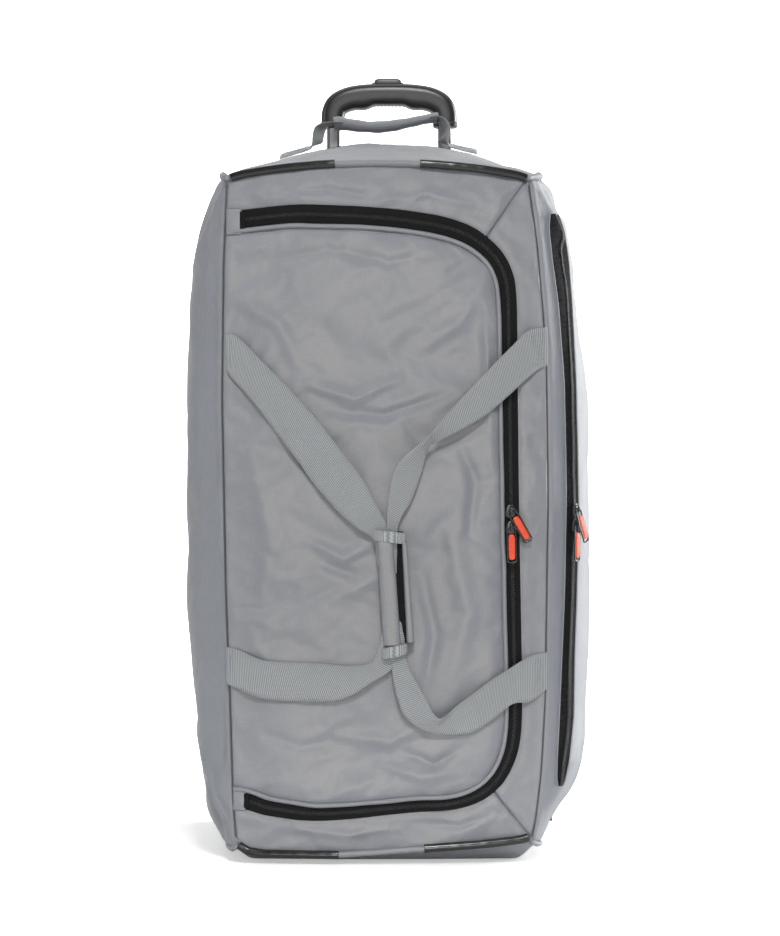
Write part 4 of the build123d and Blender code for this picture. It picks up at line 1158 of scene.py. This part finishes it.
def bottom_end_grid():
    u, v = ACROSS, column(0, 1, 100)
    side_y = -181 + v * 276
    right_z, left_z = [gusset_low_z(side_y[:, 0], side) for side in (1, -1)]
    x, y = end_plan(u, side_y, -191.5 + v * 286.5, right_z, left_z)
    edge_z = np.where(u > 0, right_z[:, None], left_z[:, None])
    side_z = edge_z * (1 - sstep((1 - np.abs(u)) * 155 / 30.0)) ** 1.6
    front_z = low_z(np.clip(x, -152, 140)) * (1 - sstep((v * 280 + 1) / 42.0)) ** 1.5
    return points(x, y, 0.6 + np.maximum(side_z, front_z) + 0.25 * np.minimum(side_z, front_z))


put(sheet("bottom_end_cloth", bottom_end_grid()[:, ::-1], FABRIC, 1.4), "root", "fabric",
    "bottom_end_panel")
y = column(93, 184, 30)
grid = points(row(-143, 143, 60), y, 1.2 + 16 * sstep((y - 160) / 26))
put(sheet("bottom_back_cloth", grid[:, ::-1], FABRIC, 1.2), "root", "fabric")


# --------------------------------------------------------------- piping cords
def wavy(curve, amount, seed):
    k = np.arange(len(curve)) / len(curve) * 40
    curve = curve.copy()
    curve[:, 2] += amount * vnoise(k, k * 0.3, 3.1, seed)
    curve[:, 1] += amount * vnoise(k, k * 0.2, 2.7, seed + 1)
    return curve


def front_pipe(x0, x1, count, edge_z, lift):
    x = np.linspace(x0, x1, count)
    return points(x, base_y(x) + 1.2, edge_z(x) + lift)


TOP_LIFT, LOW_LIFT = 1.0, -0.5
put(tube("piping_grey_top", wavy(front_pipe(-56, 33, 120, top_z, TOP_LIFT), 0.25, 70), 3.0,
         FABRIC, 14), "root", "fabric", "piping_cord")
put(tube("piping_grey_low", wavy(front_pipe(-52, 37, 120, low_z, LOW_LIFT), 0.25, 72), 3.0,
         FABRIC, 14), "root", "fabric")
# name, x from and to, x of the outer end, edge height, lift, turn at the outer end
for tag, x0, x1, end, edge_z, lift, turn, replaced in (
        ("top_left", -158.0, -54, -158.0, top_z, TOP_LIFT, -1.6, ["piping_sleeves"]),
        ("top_right", 31, 137.0, 137.0, top_z, TOP_LIFT, -1.6, []),
        ("low_left", -150.0, -50, -150.0, low_z, LOW_LIFT, 1.6, []),
        ("low_right", 35, 139.0, 139.0, low_z, LOW_LIFT, 1.6, [])):
    curve = wavy(front_pipe(x0, x1, 160, edge_z, lift), 0.12, 75)
    curve[:, 2] += turn * np.exp(-np.abs(curve[:, 0] - end) / 5.0)
    put(tube("piping_black_" + tag, curve, 4.3, PIPING, 20), "root", "piping_black", *replaced)
# cords that carry on round both end panels, back from the front corners
for side, tag in SIDES:
    y = np.linspace(-183, 180, 240)
    z = roof_edge_z(y) + 0.6
    near = bell(y + 163, 16)        # bunched up by the front corner
    curve = points(side * (edge_x(side, y, z) - near * 1.5), y,
                   z + near * 2.4 * vnoise(y, y * 0.3, 9, 61) - near)
    radius = 2.3 + near * (1.6 + 1.3 * vnoise(y, y * 0.2, 7, 62))
    put(tube("piping_end_top_" + tag, wavy(curve, 0.3, 80), radius, FABRIC, 14),
        "root", "fabric")
    y = np.linspace(-180, 98, 200)
    z = gusset_low_z(y, side) - 0.3
    curve = points(side * edge_x(side, y, z), y, z)
    put(tube("piping_end_low_" + tag, wavy(curve, 0.3, 84), 2.6, FABRIC), "root", "fabric")

# ----------------------------------------------------------------------- back
u, v = row(-1, 1, 120), column(0, 1, 220)
z = 98 + v * (709 - 98)
x = u * (np.interp(z, HEIGHTS, BACK_HALF) - 3.0)
edge = 1 - np.abs(u) ** 6
y = 184.5 + 2.0 * edge * np.minimum(1, np.minimum(v, 1 - v) * 16) + 0.6 * vnoise(x, z, 55, 95) * edge
top_rise = (1 - np.abs(u) ** 2.6) * 29 * sstep((v - 0.86) / 0.14)
put(sheet("back_cloth", points(x, y, z + top_rise), BACK, 1.6, flip=True), "root",
    "base_fabric", "back_panel")
x = row(-140, 140, 90)
grid = points(x, 185.6 + 0.8 * (1 - (x / 141) ** 8), column(16, 99, 40))
put(sheet("back_foot_panel", grid, PLASTIC, 2.0, flip=True), "root", "black_plastic")
for side, tag in SIDES:
    z = np.linspace(98, 708, 300)
    curve = points(side * (np.interp(z, HEIGHTS, BACK_HALF) - 0.5), 183.5, z)
    put(tube("back_cord_" + tag, curve, 2.4, PIPING), "root", "piping_black")


# --------------------------------------------------------------------- straps
def web_strip(name, edge_a, edge_b, thick, count):
    """Webbing between two edge curves, thinner at its edges."""
    a, b = catmull(edge_a, count)[:, None], catmull(edge_b, count)[:, None]
    across = 9
    u = row(0, 1, across)[..., None]
    middle = a * (1 - u) + b * u
    thin = np.sqrt(np.clip(1 - (2 * u - 1) ** 8, 0.08, 1))
    offset = grid_normals(middle) * thick * 0.5 * thin
    rings = np.concatenate([middle + offset, (middle - offset)[:, ::-1]], 1)
    width_uv = np.linspace(-18.5, 18.5, across)
    return loft(name, rings, WEBBING, np.r_[width_uv, width_uv[::-1]],
                arc_length(middle[:, across // 2])[:, None])


# Each station: x, z and lift off the front of one edge, then of the other
STRAPS = [
    ("strap_left_upper", "strap_left", ["strap_left", "strap_anchor_left"], [
        (-162, 529, 1.4, -162, 491, 1.4), (-151, 526, 2.8, -154, 481, 2.8),
        (-126, 501, 6.5, -134, 459, 5.5), (-97, 471, 7, -110, 427, 5),
        (-71, 442, 8.5, -91, 402, 6), (-46, 410, 9.5, -72, 376, 7),
        (-26, 383, 10, -51, 352, 7.5), (-12, 357, 10, -32, 335, 8),
        (-1, 334, 9.5, -15, 323, 8), (3, 303, 8.5, -12, 298, 7.5)]),
    ("strap_left_lower", "strap_left", [], [
        (-4, 243, 7.5, 9, 241, 8.5), (-11, 215, 7.5, 8, 213, 9), (-18, 202, 7, 2, 195, 9.5),
        (-37, 198.5, 6, -17, 182, 9), (-71, 200.5, 4.5, -47, 165, 7),
        (-104, 202, 4, -94, 163, 5.5), (-127, 204, 4.5, -127, 165.5, 5),
        (-149, 213, 2.6, -153, 175, 2.6), (-162, 216, 1.4, -162, 179, 1.4)]),
    ("strap_right_upper", "strap_right", ["strap_right", "strap_anchor_right"], [
        (158, 536, 1, 158, 497, 1), (139, 532, 3, 148, 493, 3), (123, 517, 6.5, 132, 479, 6.5),
        (107, 501, 8.5, 116, 464, 8), (87, 480, 10, 94, 446, 9.5), (69, 461, 12, 72, 433, 10.5),
        (53, 443, 16, 51, 422, 9), (40, 427, 22, 41, 418.5, 7), (27, 416, 21, 38, 411, 6.5),
        (14, 405, 18, 35, 399, 7), (5, 391, 14.5, 30, 383, 9), (0, 369, 12, 21, 360, 10),
        (-2, 347, 11, 10, 341, 10.5), (-3, 318, 9.5, 8, 315, 10)]),
    ("strap_right_lower", "strap_right", [], [
        (2, 231, 9, 15, 231, 9.5), (3, 208, 9.5, 17, 207, 10.5), (3.5, 189, 10, 24, 189, 13),
        (8, 167, 9.5, 34, 171, 15), (16, 148, 8.5, 44, 152, 16), (35, 134, 8, 53, 147, 16.5),
        (59, 130, 8, 67, 159, 14), (83, 132.5, 8, 81, 169, 12), (103, 145, 8, 99, 182.5, 10),
        (123, 160, 7.5, 119, 195, 8), (140, 162, 4, 140, 207, 4), (158, 174, 1, 158, 211, 1)]),
    ("strap_right_middle", "strap_right", [], [
        (-3, 319, 9.5, 8, 316, 10), (-2.5, 288, 8.6, 9, 288, 9), (0, 258, 8.6, 12, 258, 9),
        (2, 230, 9, 15, 230, 9.5)])]
STRAP_WRINKLE = 0.3
for name, body, replaced, stations in STRAPS:
    table = np.array(stations, float)
    edges = [on_front(table[:, k:k + 2], table[:, k + 2], STRAP_WRINKLE) for k in (0, 3)]
    put(web_strip(name, *edges, 1.7, 220), body, "webbing", *replaced)
# the right strap pieces get meshes of their own
for piece in ("strap_right_upper", "strap_right_middle", "strap_right_lower"):
    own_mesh(DATA.objects[piece])

# crossed boxes on the strap ends: corners (x, z) and lift
for tag, body, corners, lift in (
        ("lt", "strap_left", [(-160, 527), (-148, 522), (-149, 485), (-160, 491)], 2.6),
        ("lb", "strap_left", [(-160, 213), (-146, 208), (-147, 173), (-160, 178)], 2.6),
        ("rt", "strap_right", [(141, 530), (156, 534), (156, 497), (146, 493)], 3.6),
        ("rb", "strap_right", [(141, 203), (156, 208), (156, 175), (141, 165)], 3.6)):
    corners = np.array(corners, float)
    centre = corners.mean(0)
    lines = box_lines(centre + (corners - centre) * 0.82, (1, 3),
                      lambda x, z: on_front(points(x, z), lift, STRAP_WRINKLE), FORWARD)
    stitches("stitch_box_" + tag, lines, body, "webbing", 2.0, 0.36)


# ------------------------------------------------- grip wrap round the straps
def wrap_leaf(z_span, low_edges, high_edges, count, seg, lift, half_depth, square, puff=0.0):
    """Padded leaf; edges are its left and right x at the bottom and at the top."""
    rings = []
    for z in np.linspace(*z_span, count):
        share = (z - z_span[0]) / (z_span[1] - z_span[0])
        left, right = np.array(low_edges) * (1 - share) + np.array(high_edges) * share
        centre = (left + right) / 2
        dx, dy = oval(seg, (right - left) / 2, half_depth, *square)
        bulge = 1 + puff * vnoise(np.cos(circle(seg)) * 20, np.full(seg, z), 16, 12)
        rings.append(points(centre + dx * bulge, base_y(centre) - lift - dy * bulge, z))
    return np.array(rings)


rings = wrap_leaf((219, 323), (-5.5, 12.0), (-12.5, 4.5), 90, 40, lift=9.0, half_depth=6.6,
                  square=(0.55, 0.7), puff=0.05)
put(loft("wrap_leaf_left", rings, FABRIC, arc_length(rings[40]), rings[..., 2]),
    "strap_left", "fabric", "grip_wrap")
rings = wrap_leaf((222, 322), (17.5, 25.5), (12.5, 18.0), 80, 28, lift=9.5, half_depth=5.6,
                  square=(0.7, 0.8))
put(loft("wrap_leaf_right", rings, FABRIC, np.arange(28) * 0.9, rings[..., 2]),
    "strap_left", "fabric")
# dark hook strip in the gap between the two leaves
u, v = row(0, 1, 24), column(0, 1, 60)
left, right = 10.5 + (3.0 - 10.5) * v, 20.0 + (14.0 - 20.0) * v
x, z = left + (right - left) * u, 222 + 110 * v
crown = 0.5 * (1 - np.abs(2 * u - 1) ** 4) * (1 + vnoise(x, z, 14, 33))
put(sheet("wrap_hook_strip", points(x, base_y(x) - 9.5 - crown, z), HOOK_STRIP, 5.0),
    "strap_left", "webbing")
# binding loops at both ends: ring height and size, then the UV across the band
BINDING = np.array([(-5.6, 0.93, -5), (-5.0, 1.0, -4), (-2.5, 1.03, -2), (0, 1.04, 0),
                    (2.5, 1.03, 2), (5.0, 1.0, 4), (5.6, 0.93, 5)])[:, :, None]
for tag, z, x0, x1, tilt, replaced in (("top", 326.5, -15.0, 17.0, -3.0, ["wrap_binding"]),
                                       ("bottom", 213.0, -7.0, 18.0, 5.0, [])):
    centre, half = (x0 + x1) / 2, (x1 - x0) / 2
    dx, dy = oval(60, half, 7.4, 0.5, 0.6)
    rise, size = BINDING[:, 0], BINDING[:, 1]
    rings = points(centre + dx * size, base_y(centre) - 9.0 - dy * size,
                   z + rise + tilt * dx / half * 0.5)
    put(loft("wrap_binding_" + tag, rings, WEBBING, BINDING[:, 2],
             np.arange(60) * (4 * half + 25) / 60), "strap_left", "webbing", *replaced)
share = np.linspace(0.03, 0.97, 60)
lines = [stitch_line(points(x0 + run * share, float(base_y(0)) - lift, 323 - 104 * share), FORWARD)
         for x0, run, lift in ((-12.5 + 3.2, 7, 15.2), (4.5 - 2.6, 7.5, 15.0))]
stitches("wrap_stitches", lines, "strap_left")

# ---------------------------------------------------------------- haul handle
HAUL_Y = 100.0
count = 140
centre = catmull([(-60, 771.0), (-52, 771.5), (-34, 769.0), (-15, 767.6), (6, 769.5),
                  (28, 773.5), (42, 776.5), (53, 778.0)], count)
s = column(0, 1, count)
swell = 1 + 0.042 * np.sin(s * 34) + 0.05 * np.sin(s * 13 + 1)
dy, dz = oval(32, 1, 1, 0.75, 0.9)
rings = points(centre[:, :1] + 0.8 * np.sin(circle(32) * 2 + s * 9),
               HAUL_Y + 11.5 * (1 + 0.04 * np.sin(s * 21)) * dy,
               centre[:, 1:] + (7.0 - 2.0 * s) * swell * dz)
put(loft("haul_grip_sleeve", rings, FABRIC, np.arange(32) * 1.7, rings[..., 0]),
    "haul_handle", "fabric", "haul_sleeve")
curve = points(centre[4:-4, 0], HAUL_Y - 12.0, centre[4:-4, 1] - 0.5)
stitches("haul_sleeve_stitches", [stitch_line(curve, FORWARD)], "haul_handle", length=2.4,
         radius=0.4)

# webbing from the sleeve ends down to the top end: profile (x, z), stitch box x from and to
HAUL_WEBS = [
    ("left", -1, (-86, -116), [
        (-50, 771.4), (-60, 771.4), (-69, 770.4), (-75.0, 766), (-77.5, 758), (-78.5, 750.5),
        (-82.5, 746.4), (-93, 743.2), (-106, 739.6), (-119, 735.6)]),
    ("right", 1, (67, 93), [
        (44, 777.0), (52, 778.2), (57.5, 775), (60.8, 767), (60.3, 757.5), (59.0, 750.8),
        (63.5, 748.2), (74, 746.0), (84, 743.6), (96, 741.0)])]
# at each profile point: how much the upright part slants, how much the lying part tips
UPRIGHT = np.array([0.0, 0.15, 0.55, 0.95, 1.0, 0.9, 0.45, 0.1, 0.0, 0.0])
LYING = np.array([0.0, 0.0, 0.0, 0.0, 0.1, 0.45, 0.85, 1.0, 1.0, 1.0])
for tag, side, (x0, x1), profile in HAUL_WEBS:
    px, pz = np.array(profile).T
    obj = put(web_strip("haul_web_" + tag,
                        points(px + side * 5.6 * UPRIGHT, HAUL_Y - 18, pz - 5.0 * LYING),
                        points(px - side * 5.6 * UPRIGHT, HAUL_Y + 18, pz + 4.2 * LYING),
                        1.8, 160), None, "webbing")
    if tag == "left":
        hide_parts("haul_webbing", "haul_tabs")
    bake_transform(obj)
    lines = box_lines(
        [(x0, 85), (x1, 85), (x1, 115), (x0, 115)], (3, 1),
        lambda x, y: points(x, y, np.interp(x * side, px[4:] * side, pz[4:]) + 0.8
                            + (y - HAUL_Y) / 18 * 4.6), UPWARD)
    stitches("haul_stitches_" + tag, lines, "root", "webbing", 2.0, 0.36)

# --------------------------------------------------------------- trolley grip
TROLLEY_Y = 170.0
LEG_X = 62.6
count = 180
line = catmull([(-LEG_X, 776), (-LEG_X, 783), (-62, 791), (-57.5, 800.0), (-46, 806.2),
                (-28, 809.2), (0, 810.0), (28, 809.2), (46, 806.2), (57.5, 800.0), (62, 791),
                (LEG_X, 783), (LEG_X, 776)], count)
tangent = unit(np.gradient(line, axis=0))
arc = column(-1, 1, count)
half = 13.4 + 0.4 * np.cos(arc * math.pi)
# underside: hollowed for the fingers between two swellings, with fine ribs
fingers = (-2.6 * sstep((0.30 - np.abs(arc)) / 0.12) + 1.0 * bell(np.abs(arc) - 0.36, 0.07)
           + 0.22 * np.cos(arc * 130) * sstep((0.26 - np.abs(arc)) / 0.05))
depth, rise = oval(40, 1, 1, 0.62, 0.62)
offset = half * rise - (rise < 0) * fingers * np.abs(rise)
rings = points(line[:, :1] - tangent[:, 1:] * offset, TROLLEY_Y + 14.6 * depth,
               line[:, 1:] + tangent[:, :1] * offset)
put(loft("trolley_grip", rings, GRIP, np.arange(40) * 2.0, np.arange(count)[:, None] * 1.2),
    "grip", "grip_plastic", "grip_front_shell", "grip_rear_shell")
# cuffs at the leg ends: height and size of each ring
CUFF = np.array([(774.6, 0.80), (775.0, 0.92), (776.2, 0.985), (779.5, 1.0), (780.4, 0.97)])
dx, dy = oval(48, 13.9, 15.2, 0.6, 0.6)
for x, tag in ((-LEG_X, "left"), (LEG_X, "right")):
    rings = points(x + dx * CUFF[:, 1:], TROLLEY_Y + dy * CUFF[:, 1:], CUFF[:, :1])
    put(loft("grip_cuff_" + tag, rings, PLASTIC), "grip", "grip_plastic")

# release button, a rounded block, and the rim round it
BUTTON_X, BUTTON_SQUARE = -1.5, 0.34
angle = column(-math.pi / 2, math.pi / 2, 14)
size = signed_pow(np.cos(angle), BUTTON_SQUARE)
dx, dy = oval(48, 15.4, 6.9, BUTTON_SQUARE, BUTTON_SQUARE)
rings = points(BUTTON_X + size * dx, TROLLEY_Y + size * dy,
               819.0 + 10.4 * signed_pow(np.sin(angle), BUTTON_SQUARE))
put(loft("release_button", rings, BUTTON), "button", "button_plastic", "push_button")
dx, dy = oval(80, 17.2, 8.6, 0.5, 0.5)
put(tube("button_rim", points(BUTTON_X + dx, TROLLEY_Y + dy, 823.2), 1.1, PLASTIC, 10,
         closed=True), "grip", "grip_plastic")


# --------------------------------------------------------------- zip hardware
def local_frame(origin, across, outward):
    """Placer of local (across, up, out) points."""
    across, outward = unit(np.array(across, float)), unit(np.array(outward, float))
    axes = np.array([across, np.cross(outward, across), outward])
    return lambda spots: np.asarray(origin) + np.asarray(spots, float) @ axes


def slider(tag, place):
    """Shaped slider body with a bridge over it."""
    layers = np.array([(0.0, 0.9), (0.25, 1.0), (1.5, 1.0), (1.95, 0.95), (2.2, 0.8), (2.3, 0.4)])
    height, size = layers[:, :1], layers[:, 1:]
    dx, dy = oval(40, 4.9, 6.6, 0.7, 0.7)
    rings = points(dx * (1 - 0.16 * (dy / 6.6)) * size, dy * size, height)
    bridge = catmull([(0, -2.6, 1.6), (0, -2.4, 3.6), (0, -0.6, 5.2), (0, 2.0, 5.3),
                      (0, 4.2, 4.0), (0, 4.9, 1.6)], 40)
    data = merge([loft_data(place(rings)), tube_data(place(bridge), 0.95, 10)])
    put(new_object("slider_" + tag, *data, ZIP_METAL), "slider_" + tag, "zip_metal",
        "zip_slider_" + tag)


def pull(tag, place, lean, lean_out):
    """Wire loop with an orange insert, hanging lean degrees off the slider's axis."""
    cos, sin = math.cos(math.radians(lean)), math.sin(math.radians(lean))
    half, length = 4.1, 36.0

    def hang(spots):
        x, y, z = np.moveaxis(np.asarray(spots, float), -1, 0)
        return place(points(x * cos - y * sin, x * sin + y * cos + 1.2,
                            z + 3.5 - lean_out * y / length))

    # right half of the loop (share of the half width, y) from top to bottom
    right = [(0.55, 0.0), (0.95, -1.6), (1, -4.5), (1, -length + 4.0), (0.85, -length + 1.0),
             (0.4, -length)]
    outline = [(-0.55, 0.0)] + right + [(-x, y) for x, y in right[:0:-1]] + [(-0.55, 0.0)]
    loop = catmull([(x * half, y, 0.0) for x, y in outline], 120)[:-1]
    put(tube("pull_loop_" + tag, hang(loop), 0.95, PULL_FRAME, 10, closed=True), "pull_" + tag,
        "pull_frame", "pull_frame_" + tag)
    layers = np.array([(-1.2, 0.9), (-0.9, 1.0), (0.9, 1.0), (1.25, 0.9), (1.35, 0.6)])
    height, size = layers[:, :1], layers[:, 1:]
    dx, dy = oval(36, 3.15, 12.6, 0.45, 0.35)
    rings = points(dx * size, -20.6 + dy * (size * 0.15 + 0.85), height)
    parts = [loft_data(hang(rings))]
    for k in range(5):
        rib = points(np.linspace(-2.3, 2.3, 8), -12.5 - k * 4.0, 1.3)
        parts.append(tube_data(hang(rib), 0.45, 8))
    put(new_object("pull_grip_" + tag, *merge(parts), ORANGE), "pull_" + tag, "pull_insert",
        "pull_insert_" + tag)


def front_frame(x, z):
    tilt = math.asin(x / FRONT_RADIUS)
    return local_frame((x, float(base_y(x)) - 1.0, z), (math.cos(tilt), math.sin(tilt), 0),
                       (math.sin(tilt), -math.cos(tilt), 0))


upper_frame, lower_frame = front_frame(121.0, 352.0), front_frame(121.5, 335.5)
slider("main_upper", upper_frame)
slider("main_lower", lower_frame)
pull("main_upper", upper_frame, lean=30.0, lean_out=1.5)
pull("main_lower", lower_frame, lean=1.0, lean_out=0.5)
for tag, z, lean in (("side_upper", 353.5, 24.0), ("side_lower", 337.5, -3.0)):
    k = int(np.argmin(np.abs(pocket_z - z)))
    normal = POCKET_NORMAL[k]
    place = local_frame(POCKET_LINE[k] + unit(normal) * 1.1, (-normal[1], normal[0], 0.0),
                        (normal[0], normal[1], 0))
    slider(tag, place)
    pull(tag, place, lean, lean_out=1.0)

# ------------------------------------------------- CAD pieces kept as they are
KEPT = [
    (PLASTIC, ["skid_rails", "wheel_housing_left", "wheel_housing_right", "tube_foot",
               "handle_bezel", "outer_tube_bushes", "mid_tube_bushes", "push_rods",
               "back_board"]),
    (TUBE, ["outer_tubes", "mid_tubes", "inner_tubes"]),
    (STEEL, ["axles", "bearings_left", "bearings_right", "screws"]),
    (TYRE, ["tyre_left", "tyre_right"]),
    (HUB, ["hub_left", "hub_right"])]
for mat, names in KEPT:
    for name in names:
        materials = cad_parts[name].data.materials
        materials.clear()
        materials.append(mat)

# ------------------------------- lining sewn over the wheel wells on the inside
# outer wall (y, distance out) and front wall (distance out, z)
WALL = [(104.5, 190.2), (112, 189.3), (130, 186.3), (150, 183.5), (165, 181.1), (176, 179.4),
        (183.0, 178.6)]
FOOT = [(129.0, 0.9), (140, 2.8), (150, 7.2), (158.4, 13.2), (159.8, 18), (166.0, 28),
        (172.4, 40), (178.6, 55), (183.9, 70), (187.7, 85), (190.2, 102)]
WELL_Y = [104.5, 130, 158, 164, 170, 176, 179.3]
WELL_X, WELL_TOP = FOOT[0][0], 102.0


def strip_faces(start, across, count):
    return [(start + i, start + i + 1, start + across + i + 1, start + across + i)
            for i in range(count)]


for side, tag in ((-1, "left"), (1, "right")):
    n_wall, n_foot, n_well = len(WALL), len(FOOT), len(WELL_Y)
    verts = [(side * x, y, WELL_TOP) for y, x in WALL]
    verts += [(side * WELL_X, min(y, WELL_Y[-1]), WELL_TOP) for y, _ in WALL]
    faces = strip_faces(0, n_wall, n_wall - 1)
    k = len(verts)
    verts += [(side * x, WELL_Y[0], z) for x, z in FOOT]
    verts += [(side * x, WELL_Y[0], WELL_TOP) for x, _ in FOOT[:-1]]
    faces += strip_faces(k, n_foot, n_foot - 2)
    faces += [(k + n_foot - 2, k + n_foot - 1, k + 2 * n_foot - 2)]
    k = len(verts)
    verts += [(side * WELL_X, y, 0.9 + 16 * float(sstep((y - 160) / 26))) for y in WELL_Y]
    verts += [(side * WELL_X, y, WELL_TOP) for y in WELL_Y]
    faces += strip_faces(k, n_well, n_well - 1)
    verts = np.array(verts, float)
    uv = points(verts[:, 0] + verts[:, 1], verts[:, 2])
    put(new_object("well_lining_" + tag, verts, faces, uv, FABRIC, smooth=False),
        "root", "fabric")

# --------------------------------------------------------------- studio stage
# floor sweep: flat, a quarter round, then a wall behind the bag
SWEEP_Y, SWEEP_RADIUS = 3200, 1200
profile = [(-14000, 0), (SWEEP_Y, 0)]
profile += [(SWEEP_Y + SWEEP_RADIUS * math.sin(angle), SWEEP_RADIUS * (1 - math.cos(angle)))
            for angle in np.linspace(0, math.pi / 2, 14)]
profile += [(SWEEP_Y + SWEEP_RADIUS, 7000)]
verts = [(x, y, z) for y, z in profile for x in (-16000, 16000)]
faces = [(2 * i, 2 * i + 1, 2 * i + 3, 2 * i + 2) for i in range(len(profile) - 1)]
white = stage_white("studio_white", (0.93, 0.93, 0.93), rough=0.9)
new_object("studio_sweep", verts, faces, mat=white)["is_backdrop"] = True

# world: dim as a light, bright where the camera sees it
world = DATA.worlds.new("studio")
SCENE.world = world
world.use_nodes = True
tree = world.node_tree
background = tree.nodes["Background"]
rays = tree.nodes.new("ShaderNodeLightPath")
strength = tree.nodes.new("ShaderNodeMix")
strength.data_type = "FLOAT"
tree.links.new(rays.outputs["Is Camera Ray"], strength.inputs[0])
strength.inputs[2].default_value = 0.14
strength.inputs[3].default_value = 1.2
tree.links.new(strength.outputs[0], background.inputs[1])
background.inputs[0].default_value = (1, 1, 1, 1)


def area(name, place, target, size, size_y, power):
    """Area light; places and sizes in metres."""
    light = DATA.lights.new(name, "AREA")
    light.energy = power
    light.shape = "RECTANGLE"
    light.size = size
    light.size_y = size_y
    obj = DATA.objects.new(name, light)
    SCENE.collection.objects.link(obj)
    aim = Vector(target) - Vector(place)
    obj.rotation_euler = aim.to_track_quat("-Z", "Y").to_euler()
    obj.location = place
    return light


area("key_box", (0.15, -2.6, 2.8), (0, -0.1, 0.42), size=0.6, size_y=0.6, power=68)
area("front_box", (0.1, -4.3, 1.15), (0, 0, 0.42), size=1.0, size_y=1.0, power=24)
area("side_box", (2.8, 1.5, 1.1), (0, 0, 0.4), size=1.0, size_y=2.0, power=128)
area("rim_left", (-3.0, -0.5, 1.1), (0, 0, 0.4), size=1.0, size_y=2.0, power=17)
area("backwash", (0, 1.6, 3.6), (0, 4.4, 0.8), size=4.0, size_y=4.0, power=95)
low_light = area("low_box", (0.0, -1.0, 0.04), (0, -0.2, -0.03), size=0.7, size_y=0.1, power=0.24)
low_light.spread = math.radians(40)

camera = DATA.cameras.new("camera")
camera.lens = 115.4
camera.sensor_width = 36
camera.clip_end = 100
camera_object = DATA.objects.new("camera", camera)
SCENE.collection.objects.link(camera_object)
camera_object.location = (0.0010, -3.180, 0.395)
camera_object.rotation_euler = (math.radians(90), 0, 0)
SCENE.camera = camera_object
SCENE.view_settings.view_transform = "Standard"

visual_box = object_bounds()
boxes = {"cad": cad_box, "visual": visual_box}
boxes = {key: [[float(x) for x in corner] for corner in box] for key, box in boxes.items()}
